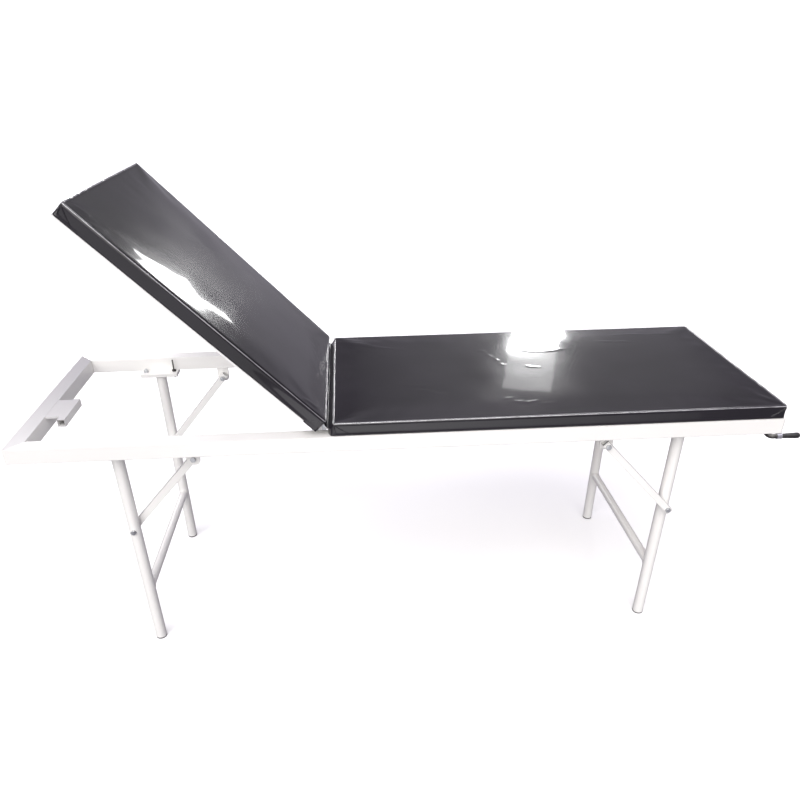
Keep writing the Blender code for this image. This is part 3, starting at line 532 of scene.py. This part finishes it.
def make_materials():
    """One material for each of the record's slots."""
    return {
        "white_paint": white_paint(),
        "white_board": white_board(),
        "black_vinyl": black_vinyl(),
        "foam": dull("foam", (0.70, 0.62, 0.40), (0.82, 0.74, 0.52), (0.85, 0.95), 60.0, 0.0003),
        "plywood": plywood(),
        "zinc_steel": metal("zinc_plated_steel", (0.42, 0.43, 0.44), (0.62, 0.63, 0.65),
                            (0.28, 0.46)),
        "dark_steel": metal("dark_oiled_steel", (0.045, 0.043, 0.042), (0.13, 0.125, 0.12),
                            (0.30, 0.52)),
        "chrome": metal("chrome_plate", (0.72, 0.73, 0.75), (0.84, 0.85, 0.87), (0.05, 0.14)),
        "brass": metal("brass", (0.50, 0.36, 0.14), (0.68, 0.52, 0.24), (0.25, 0.42)),
        "nylon": dull("white_nylon", (0.70, 0.70, 0.65), (0.78, 0.78, 0.74), (0.40, 0.55), 50.0,
                      0.0001),
        "grey_rubber": dull("dark_rubber", (0.030, 0.030, 0.032), (0.065, 0.063, 0.062),
                            (0.65, 0.85), 45.0, 0.0003),
        "black_plastic": dull("black_plastic", (0.010, 0.010, 0.011), (0.022, 0.021, 0.022),
                              (0.28, 0.42), 60.0, 0.0001),
    }


def finish_with(piece, slot_name):
    """Gives a new piece the material of one of the record's slots."""
    piece.data.materials.clear()
    piece.data.materials.append(MATERIALS[slot_name])
    return piece


# ------------------------------------------------------------------ mattresses

EDGE_RADIUS = 0.0075
GRID = 0.010
TRIM_RADIUS = 0.0013
END_ROLL_RADIUS = 0.00195
END_ROLL_STEPS = 60
TUCKS = ((0.006, 0.0), (0.026, 0.010))
TUCK_STEPS = 12
SEAT_CROWN, SEAT_CROWN_POWER, SEAT_SWELL = 0.0022, 4, 0.0016
BACK_CROWN, BACK_CROWN_POWER, BACK_SWELL = 0.0040, 3, 0.0014
HEAD_END_BULGE = 0.0125
PRESSURE = 4.0
CLOTH_FRAMES = 20
BULGE_RUN = 0.030
UNDERSIDE_BAND = 0.0004
WRAP_GAP = 0.0010
WRAP_RUN = 0.0045
WRAP_REACH = 0.006
FLAP_SEAT_Z = 0.6950
FLAP_BACK_Z = 0.6960
FLAP_SAG = 0.0080
FLAP_THICKNESS = 0.0010
FLAP_INSET = 0.0015
FLAP_STEPS = 14
FLAP_ROWS = 64


def grid_lines(low, high, step, radius):
    """Grid positions between two ends, closer together where the edges are round."""
    inner_low, inner_high = low + radius, high - radius
    count = max(2, round((inner_high - inner_low) / step))
    inner = [inner_low + (inner_high - inner_low) * i / count for i in range(count + 1)]
    before = [low + radius * share for share in (0.0, 0.3, 0.65)]
    after = [high - radius * share for share in (0.65, 0.3, 0.0)]
    return before + inner + after


def block(name, low, high, step, radius):
    """A closed block on a fine grid, with round top edges and upright corners."""
    xs = grid_lines(low.x, high.x, step, radius)
    ys = grid_lines(low.y, high.y, step, radius)
    zs = [low.z + (high.z - radius - low.z) * i / 4 for i in range(5)]
    zs += [high.z - radius * share for share in (0.65, 0.3, 0.0)]
    grids = (xs, ys, zs)
    bm = bmesh.new()
    made = {}

    def corner(key):
        if key not in made:
            point = Vector([grids[axis][key[axis]] for axis in range(3)])
            core = Vector((min(max(point.x, low.x + radius), high.x - radius),
                           min(max(point.y, low.y + radius), high.y - radius),
                           min(point.z, high.z - radius)))
            offset = point - core
            reach = max(abs(value) for value in offset)
            if offset.length > 1e-9 and reach > 1e-9:
                point = core + offset.normalized() * min(reach, radius)
            made[key] = bm.verts.new(point)
        return made[key]

    sizes = [len(line) for line in grids]
    for axis in range(3):
        first, second = (axis + 1) % 3, (axis + 2) % 3
        for level, flip in ((0, True), (sizes[axis] - 1, False)):
            for i in range(sizes[first] - 1):
                for j in range(sizes[second] - 1):
                    quad = []
                    for di, dj in ((0, 0), (1, 0), (1, 1), (0, 1)):
                        key = [0, 0, 0]
                        key[axis], key[first], key[second] = level, i + di, j + dj
                        quad.append(corner(tuple(key)))
                    bm.faces.new(list(reversed(quad)) if flip else quad)
    return new_object(name, bm)


def inflate(piece, floor_z, cap, pressure):
    """Cloth swelled by pressure with its underside held; no point moves further than cap.
    The result is kept in the mesh and the cloth is removed."""
    held = piece.vertex_groups.new(name="held")
    held.add([v.index for v in piece.data.vertices if v.co.z < floor_z + 0.0005], 1.0, "REPLACE")
    rest = np.array([v.co for v in piece.data.vertices])
    cloth = piece.modifiers.new("cloth", "CLOTH")
    settings = cloth.settings
    settings.quality = 6
    settings.mass = 0.4
    settings.tension_stiffness = 30.0
    settings.compression_stiffness = 30.0
    settings.shear_stiffness = 12.0
    settings.bending_stiffness = 1.5
    settings.shrink_min = -0.003
    settings.use_pressure = True
    settings.uniform_pressure_force = pressure
    settings.vertex_group_mass = "held"
    settings.effector_weights.gravity = 0.0
    cloth.collision_settings.use_collision = False
    cloth.point_cache.frame_start = 1
    cloth.point_cache.frame_end = CLOTH_FRAMES
    scene = bpy.context.scene
    for step in range(1, CLOTH_FRAMES + 1):
        scene.frame_set(step)
    evaluated = piece.evaluated_get(bpy.context.evaluated_depsgraph_get())
    moved = np.array([v.co for v in evaluated.data.vertices])
    piece.modifiers.remove(cloth)
    scene.frame_set(1)
    shift = moved - rest
    length = np.linalg.norm(shift, axis=1, keepdims=True)
    limit = cap * np.tanh(length / cap) / np.maximum(length, 1e-9)
    result = rest + shift * limit
    piece.data.vertices.foreach_set("co", result.astype(np.float32).ravel())
    piece.data.update()


def smoothstep(value):
    """A soft step: 0 up to 0, 1 from 1 on, and an S-curve between."""
    value = min(max(value, 0.0), 1.0)
    return value * value * (3.0 - 2.0 * value)


def refine(piece):
    """The same shape with each face split in four, smoothly."""
    subdivide = piece.modifiers.new("refine", "SUBSURF")
    subdivide.levels = 1
    subdivide.render_levels = 1
    subdivide.boundary_smooth = "PRESERVE_CORNERS"
    evaluated = piece.evaluated_get(bpy.context.evaluated_depsgraph_get())
    finer = bpy.data.meshes.new_from_object(evaluated)
    piece.modifiers.clear()
    piece.data = finer


def pleats(start, end, count, spread, length, turn, height, width):
    """Short parallel folds, evenly placed from start to end. Each is (middle, direction,
    half length, height, width); a random part keeps them from being alike."""
    rng = np.random.default_rng(round(abs(start[0] * 1000 + end[1] * 77)) + count)
    folds = []
    for k in range(count):
        share = (k + 0.5) / count
        place = Vector(start).lerp(Vector(end), share)
        place += Vector((rng.uniform(-spread, spread), rng.uniform(-spread, spread)))
        angle = math.radians(turn + rng.uniform(-9.0, 9.0))
        direction = Vector((math.cos(angle), math.sin(angle)))
        folds.append((place, direction, length / 2 * rng.uniform(0.7, 1.25),
                      height * rng.uniform(0.7, 1.2), width))
    return folds


def fold_height(folds, x, y):
    """How high the folds lift the vinyl at a point."""
    total = 0.0
    for middle, direction, half, height, width in folds:
        dx, dy = x - middle.x, y - middle.y
        along = dx * direction.x + dy * direction.y
        if abs(along) > half * 1.6:
            continue
        bend = 0.0016 * math.sin(along / half * 2.2 + middle.x * 90.0)
        across = dy * direction.x - dx * direction.y + bend
        if abs(across) > width * 3.0:
            continue
        total += height * math.exp(-(across / width) ** 2 - (along / half) ** 4)
    return total


def mattress(name, low, high, crown, power, wrinkles, cap):
    """A foam mattress in a tight vinyl cover: swelled by the cloth, then crowned and creased.
    A higher power keeps the crown level further out towards the sides."""
    piece = block(name, low, high, GRID, EDGE_RADIUS)
    inflate(piece, low.z, cap, PRESSURE)
    refine(piece)
    middle = (low + high) / 2
    half = (high - low) / 2
    for vert in piece.data.vertices:
        co = vert.co
        u = (co.x - middle.x) / half.x
        v = (co.y - middle.y) / half.y
        up = smoothstep((co.z - low.z) / (high.z - low.z))
        rise = crown * (1.0 - abs(u) ** 6) * (1.0 - abs(v) ** power)
        co.z += up * (rise + wrinkles(co))
    return piece


def perimeter(low, high, radius, level, step=0.012):
    """Points around the top edge, half way round its curve."""
    points = []
    corners = ((high.x, high.y, 0), (low.x, high.y, 90), (low.x, low.y, 180),
               (high.x, low.y, 270))
    for x, y, start in corners:
        cx = x - radius if x == high.x else x + radius
        cy = y - radius if y == high.y else y + radius
        for k in range(6):
            turn = math.radians(start + 90 * k / 5)
            points.append(Vector((cx + radius * math.cos(turn), cy + radius * math.sin(turn),
                                  level)))
    dense = []
    for first, second in zip(points, points[1:] + points[:1]):
        count = max(1, round((second - first).length / step))
        dense += [first.lerp(second, i / count) for i in range(count)]
    return dense


def on_surface(piece, points, lift):
    """The points moved onto the piece's surface, and out from it by lift."""
    bm = bmesh.new()
    bm.from_mesh(piece.data)
    tree = BVHTree.FromBMesh(bm)
    bm.free()
    landed = []
    for point in points:
        spot, normal, _, _ = tree.find_nearest(point)
        landed.append(spot + normal * lift)
    return landed


SEAT_FOLDS = (
    pleats((-0.23, 0.245), (-0.10, 0.175), 5, 0.008, 0.13, -22.0, 0.00045, 0.006)
    + pleats((0.180, 0.145), (0.225, 0.000), 4, 0.006, 0.022, -35.0, 0.0006, 0.0035)
    + pleats((0.285, 0.000), (0.315, -0.008), 2, 0.003, 0.020, -28.0, 0.0008, 0.0035)
    + pleats((0.185, -0.205), (0.290, -0.240), 5, 0.010, 0.040, 4.0, 0.0004, 0.0045)
    + pleats((-0.045, -0.110), (0.030, -0.175), 5, 0.014, 0.055, -8.0, 0.0004, 0.0055)
    + pleats((0.540, 0.175), (0.640, 0.165), 4, 0.006, 0.035, 2.0, 0.0006, 0.0035)
    + pleats((0.620, 0.235), (0.800, 0.225), 6, 0.008, 0.040, 3.0, 0.0005, 0.0035)
    + pleats((0.300, 0.120), (0.420, 0.110), 5, 0.012, 0.045, 6.0, 0.0004, 0.0045)
    + pleats((-0.225, -0.280), (-0.180, -0.262), 3, 0.004, 0.030, 40.0, 0.0006, 0.0035))
BACK_FOLDS = (
    pleats((-0.395, 0.185), (-0.365, 0.075), 7, 0.003, 0.030, -38.0, 0.0007, 0.0030)
    + pleats((-0.360, 0.060), (-0.335, -0.060), 2, 0.006, 0.110, -70.0, 0.0006, 0.0050)
    + pleats((-0.345, 0.120), (-0.325, -0.020), 3, 0.008, 0.090, 88.0, 0.0005, 0.0050)
    + pleats((-0.985, -0.262), (-0.930, -0.275), 3, 0.005, 0.050, 28.0, 0.0008, 0.0050)
    + pleats((-0.375, -0.272), (-0.330, -0.262), 3, 0.004, 0.028, 35.0, 0.0007, 0.0035)
    + pleats((-0.430, 0.262), (-0.350, 0.262), 3, 0.005, 0.060, 10.0, 0.0005, 0.0050))


def seat_wrinkles(co):
    """Slow waves over the whole seat, and the folds at its corners and worn spots."""
    wave = noise.noise(Vector((co.x * 3.1, co.y * 4.3, 1.7))) * 0.0009
    wave += noise.noise(Vector((co.x * 11.0, co.y * 13.0, 5.2))) * 0.00022
    return wave + fold_height(SEAT_FOLDS, co.x, co.y)


def back_wrinkles(co):
    """Slow waves over the whole backrest, and its folds."""
    wave = noise.noise(Vector((co.x * 3.3, co.y * 3.9, 8.4))) * 0.0009
    wave += noise.noise(Vector((co.x * 12.0, co.y * 12.0, 2.9))) * 0.00022
    return wave + fold_height(BACK_FOLDS, co.x, co.y)


def flat_box(nodes):
    """The box of the backrest's CAD nodes with the backrest laid flat."""
    lay = RAISE.inverted()
    points = [lay @ vert.co for name in nodes for vert in NODES[name].data.vertices]
    low = Vector([min(point[axis] for point in points) for axis in range(3)])
    high = Vector([max(point[axis] for point in points) for axis in range(3)])
    return low, high


def wrap_end(piece, level, deep, panel_end):
    """Draws the underside past the panel's end down, so that the cover wraps that end."""
    nearest = min((abs(v.co.x - panel_end), v.co.x) for v in piece.data.vertices
                  if v.co.z < level + UNDERSIDE_BAND)[1]
    for vert in piece.data.vertices:
        co = vert.co
        if co.z > level + UNDERSIDE_BAND:
            continue
        if abs(co.x - nearest) < 0.0002:
            co.x = panel_end + 0.0004
        elif co.x > nearest:
            share = min((co.x - nearest) / WRAP_RUN, 1.0)
            co.z = level + (deep - level) * share
            if share < 1.0 or co.x < nearest + WRAP_REACH:
                co.x = panel_end + WRAP_GAP


def add_trim(name, piece, low, high):
    """The rolled edge round the top of a cover: thick and wavy across the couch at both ends
    of the section, thin along its sides."""
    line = perimeter(low, high, EDGE_RADIUS, high.z - EDGE_RADIUS * 0.2)
    bm = bmesh.new()
    sweep(bm, on_surface(piece, line, 0.0003), TRIM_RADIUS, 8, closed=True, wobble=0.25)
    reach = high.y - EDGE_RADIUS * 1.3
    for x in (low.x + EDGE_RADIUS * 0.35, high.x - EDGE_RADIUS * 0.35):
        row = []
        for k in range(END_ROLL_STEPS + 1):
            y = -reach + 2 * reach * k / END_ROLL_STEPS
            drift = noise.noise(Vector((x * 9.0, y * 7.0, 3.3))) * 0.0012
            row.append(Vector((x + drift, y, high.z)))
        sweep(bm, on_surface(piece, row, 0.0002), END_ROLL_RADIUS, 8, wobble=0.55)
    trim = smooth(new_object(name, bm), 80.0)
    # The trim's pale material paints the highlight lines along the cover's top edges.
    trim.data.materials.append(HIGHLIGHT_VINYL)
    trim.parent = piece
    return trim


def add_tucks(name, piece, low, high):
    """Two folds down each corner of a cover, where the vinyl is gathered."""
    bm = bmesh.new()
    drop = high.z - low.z
    for x, inward in ((low.x, 1.0), (high.x, -1.0)):
        for y, inboard in ((low.y, 1.0), (high.y, -1.0)):
            for run, lean in TUCKS:
                row = []
                for k in range(TUCK_STEPS + 1):
                    share = k / TUCK_STEPS
                    sink = drop * (0.10 + 0.72 * share)
                    row.append(Vector((x + inward * (run * share + lean * share ** 2 + 0.002),
                                       y + inboard * 0.001 * (1.0 - share), high.z - sink)))
                sweep(bm, on_surface(piece, row, 0.0001), TRIM_RADIUS, 8, wobble=0.7)
    tucks = smooth(new_object(name, bm), 80.0)
    finish_with(tucks, "black_vinyl")
    tucks.parent = piece
    return tucks


def bulge_head_end(piece, low, high, reach):
    """Lets the soft head end of the seat swell towards the backrest below its top edge."""
    for vert in piece.data.vertices:
        co = vert.co
        near_end = 1.0 - smoothstep((co.x - low.x) / BULGE_RUN)
        height = (co.z - low.z) / (high.z - low.z)
        side = 1.0 - smoothstep((abs(co.y) / high.y - 0.93) / 0.07) * 0.45
        wave = 1.0 + 0.10 * noise.noise(Vector((0.0, co.y * 9.0, 4.0)))
        co.x -= reach * near_end * smoothstep((0.97 - height) / 0.55) * side * wave


def make_seat_mattress():
    """The seat's mattress, whose head end swells towards the backrest."""
    low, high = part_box("seat_cover")
    piece = mattress("seat_mattress", low, high, SEAT_CROWN, SEAT_CROWN_POWER, seat_wrinkles,
                     SEAT_SWELL)
    bulge_head_end(piece, low, high, HEAD_END_BULGE)
    smooth(piece, 60.0)
    finish_with(piece, "black_vinyl")
    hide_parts("seat_cover", "seat_foam")
    add_trim("seat_mattress_seam", piece, low, high)
    add_tucks("seat_mattress_tucks", piece, low, high)
    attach(piece, "frame")


def make_back_mattress():
    """The backrest's mattress, built lying flat and then raised."""
    low, high = flat_box(["backrest_cover"])
    panel_high = flat_box(["backrest_panel"])[1]
    deep = low.z
    low.z = panel_high.z + 0.0003
    piece = mattress("backrest_mattress", low, high, BACK_CROWN, BACK_CROWN_POWER,
                     back_wrinkles, BACK_SWELL)
    wrap_end(piece, low.z, deep, panel_high.x)
    seam = add_trim("backrest_mattress_seam", piece, low, high)
    tucks = add_tucks("backrest_mattress_tucks", piece, low, high)
    for part in (seam, tucks, piece):
        part.data.transform(RAISE)
    smooth(piece, 60.0)
    finish_with(piece, "black_vinyl")
    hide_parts("backrest_cover", "backrest_foam")
    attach(piece, "backrest")
    return piece


def make_hinge_flap():
    """The strip of vinyl sewn to both covers, which closes the gap between the sections. It
    hangs slack between the two ends, shaped for the raised backrest."""
    back_end = flat_box(["backrest_cover"])[1].x + FLAP_INSET
    seat_low, seat_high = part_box("seat_cover")
    seat_end = seat_low.x - FLAP_INSET
    reach = seat_high.y - 0.0105
    bm = bmesh.new()
    lines = []
    for j in range(FLAP_ROWS + 1):
        y = -reach + 2 * reach * j / FLAP_ROWS
        wave = noise.noise(Vector((y * 8.0, 2.0, 6.0)))
        first = Vector((seat_end, y, FLAP_SEAT_Z + 0.0006 * wave))
        last = RAISE @ Vector((back_end, y, FLAP_BACK_Z + 0.0006 * wave))
        line = []
        for i in range(FLAP_STEPS + 1):
            share = i / FLAP_STEPS
            sag = FLAP_SAG * (1.0 + 0.12 * wave) * math.sin(math.pi * share)
            line.append(first.lerp(last, share) - Vector((0.0, 0.0, sag)))
        line += [point - Vector((0.0, 0.0, FLAP_THICKNESS)) for point in reversed(line)]
        lines.append(line)
    skin(bm, lines)
    bmesh.ops.recalc_face_normals(bm, faces=bm.faces)
    flap = smooth(new_object("hinge_flap", bm), 60.0)
    finish_with(flap, "black_vinyl")
    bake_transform(flap)


# ------------------------------------------------------------------ bolts, threads and welds

PLATE_TOP = 0.6305
PLATE_BOTTOM = 0.6202
BOLT_DX = 0.042
BOLT_Y = 0.2475
BOLT_RADIUS, BOLT_PITCH = 0.0039, 0.00125
BOLT_TOP = 0.0105
BOLT_IN_HEAD = 0.002
WASHER_RADIUS, WASHER_TOP = 0.0078, 0.0014
NUT_RADIUS, NUT_TOP = 0.0068, 0.0070
HEAD_RADIUS, HEAD_HEIGHT = 0.0072, 0.0053
STUD_RADIUS, STUD_PITCH = 0.0025, 0.0016
STUD_NUT_RADIUS, STUD_NUT_HEIGHT = 0.0062, 0.0055
SCREW_LEAD = 0.010
THREAD_LENGTH = 0.551
THREAD_RADIUS = 0.00856
THREAD_BEAD = 0.0006
THREAD_SIDES = 18
LEG_RADIUS = 0.0155
BAR_RADIUS = 0.0125
BAR_Z = 0.185
RAIL_BOTTOM = 0.6298
LEG_WELD, BAR_WELD, TAB_WELD = 0.0020, 0.0019, 0.0016
WELD_OUT = 0.0008
TAB_HALF = 0.0165
TAB_FACES = (0.2603, 0.2637)
WELD_STEP = 0.0015


def hexagon(bm, center, radius, low, high):
    """A hexagon nut or bolt head about an upright axis, with chamfered corners."""
    turns = [k * math.pi / 6 for k in range(12)]
    flat = math.cos(math.pi / 6)
    chamfer = (high - low) * 0.16

    def ring(z, shrink):
        points = []
        for k, turn in enumerate(turns):
            reach = min(radius if k % 2 == 0 else radius * flat, radius * shrink)
            points.append((center[0] + reach * math.cos(turn),
                           center[1] + reach * math.sin(turn), z))
        return points

    skin(bm, [ring(low, 0.90), ring(low + chamfer, 1.0), ring(high - chamfer, 1.0),
              ring(high, 0.90)])


def rod(bm, center, radius, low, high, pitch=0.0):
    """An upright round rod, with a thread if it has a pitch."""
    sides = 16
    depth = pitch * 0.5
    step = pitch / 6 if pitch else high - low
    count = max(1, round((high - low) / step))
    rings = []
    for i in range(count + 1):
        z = low + (high - low) * i / count
        ring = []
        for k in range(sides):
            turn = 2 * math.pi * k / sides
            reach = radius
            if pitch:
                phase = ((z - low) / pitch - k / sides) % 1.0
                reach -= depth * abs(2.0 * phase - 1.0)
            ring.append((center[0] + reach * math.cos(turn), center[1] + reach * math.sin(turn),
                         z))
        rings.append(ring)
    skin(bm, rings)


def leg_corners():
    """The four legs' CAD axes, as (end, side, x, y)."""
    for end in ("head", "foot"):
        for side in ("near", "far"):
            low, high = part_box("foot_plug_%s_%s" % (end, side))
            yield end, side, (low.x + high.x) / 2, (low.y + high.y) / 2


def make_plate_bolts():
    """The bolts that hold each leg's plate to the rail's plate, with washers and nuts."""
    for end, side, x, y in leg_corners():
        bolt_y = math.copysign(BOLT_Y, y)
        for number, dx in enumerate((-BOLT_DX, BOLT_DX)):
            if (end, side, number) == ("head", "far", 1):
                continue
            center = (x + dx, bolt_y)
            bm = bmesh.new()
            rod(bm, center, WASHER_RADIUS, PLATE_TOP, PLATE_TOP + WASHER_TOP)
            hexagon(bm, center, NUT_RADIUS, PLATE_TOP + WASHER_TOP, PLATE_TOP + NUT_TOP)
            rod(bm, center, BOLT_RADIUS, PLATE_BOTTOM - BOLT_IN_HEAD, PLATE_TOP + BOLT_TOP,
                BOLT_PITCH)
            hexagon(bm, center, HEAD_RADIUS, PLATE_BOTTOM - HEAD_HEIGHT, PLATE_BOTTOM)
            bolt = smooth(new_object("plate_bolt_%s_%s_%d" % (end, side, number), bm), 30.0)
            finish_with(bolt, "zinc_steel")
            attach(bolt, "frame")


def make_stud():
    """The long threaded stud at the far head-end plate, with its two nuts."""
    low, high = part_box("clamp_stud")
    center = ((low.x + high.x) / 2, (low.y + high.y) / 2)
    bm = bmesh.new()
    rod(bm, center, STUD_RADIUS, low.z, high.z, STUD_PITCH)
    hexagon(bm, center, STUD_NUT_RADIUS, PLATE_TOP, PLATE_TOP + STUD_NUT_HEIGHT)
    hexagon(bm, center, STUD_NUT_RADIUS, PLATE_BOTTOM - STUD_NUT_HEIGHT, PLATE_BOTTOM)
    stud = smooth(new_object("clamp_stud_threaded", bm), 30.0)
    finish_with(stud, "dark_steel")
    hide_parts("clamp_stud")
    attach(stud, "frame")


def make_screw_thread():
    """The rounded thread along the lead screw."""
    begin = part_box("lead_screw")[0].x + 0.004
    count = round(THREAD_LENGTH / SCREW_LEAD * THREAD_SIDES)
    points = []
    for i in range(count + 1):
        turn = 2 * math.pi * i / THREAD_SIDES
        points.append(Vector((begin + THREAD_LENGTH * i / count,
                              DRIVE_AXIS.y + THREAD_RADIUS * math.cos(turn),
                              DRIVE_AXIS.z + THREAD_RADIUS * math.sin(turn))))
    bm = bmesh.new()
    sweep(bm, points, THREAD_BEAD, 6)
    thread = smooth(new_object("lead_screw_thread", bm), 60.0)
    finish_with(thread, "zinc_steel")
    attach(thread, "crank")


def make_welds():
    """Painted weld beads: legs to their plates, crossbars to legs, and tabs to the rails."""
    bm = bmesh.new()
    turns = [2 * math.pi * k / 28 for k in range(28)]
    for end, side, x, y in leg_corners():
        reach = LEG_RADIUS + WELD_OUT
        ring = [Vector((x + reach * math.cos(t), y + reach * math.sin(t),
                        PLATE_BOTTOM - 0.0006)) for t in turns]
        sweep(bm, ring, LEG_WELD, 6, closed=True, wobble=0.35)
        saddle = []
        for t in turns:
            across = BAR_RADIUS * math.cos(t)
            reach = math.sqrt(LEG_RADIUS ** 2 - across ** 2) + WELD_OUT
            saddle.append(Vector((x + across * 1.04, y - math.copysign(reach, y),
                                  BAR_Z + BAR_RADIUS * 1.04 * math.sin(t))))
        sweep(bm, saddle, BAR_WELD, 6, closed=True, wobble=0.35)
        bolt_low, bolt_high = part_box("brace_%s_%s_bolt_upper" % (end, side))
        tab_x = (bolt_low.x + bolt_high.x) / 2
        for face in TAB_FACES:
            line = [Vector((tab_x - TAB_HALF + WELD_STEP * k, math.copysign(face, y),
                            RAIL_BOTTOM)) for k in range(23)]
            sweep(bm, line, TAB_WELD, 6, wobble=0.4)
    welds = smooth(new_object("frame_welds", bm), 70.0)
    finish_with(welds, "white_paint")
    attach(welds, "frame")


# ------------------------------------------------------------------ build

MATERIALS = make_materials()
# Pale vinyl whose colour is a painted highlight for the rolled edges.
HIGHLIGHT_VINYL = painted_highlight_vinyl()
for name, cad in NODES.items():
    cad.data.materials.clear()
    cad.data.materials.append(MATERIALS[SLOTS[name]])

add_camera()
off_back, on_back, on_head_end, off_head_end = add_light()
add_floor()
make_seat_mattress()
backrest = make_back_mattress()
backrest_pieces = [backrest] + list(backrest.children)
share_light(off_back, backrest_pieces, "EXCLUDE")
share_light(on_back, backrest_pieces, "INCLUDE")
head_end = [NODES[name] for name in ("head_rail", "accessory_socket")]
share_light(off_head_end, head_end, "EXCLUDE")
share_light(on_head_end, head_end, "INCLUDE")
make_hinge_flap()
make_plate_bolts()
make_stud()
make_screw_thread()
make_welds()

bpy.context.scene.view_settings.view_transform = "Standard"
bpy.context.scene.view_settings.look = "None"
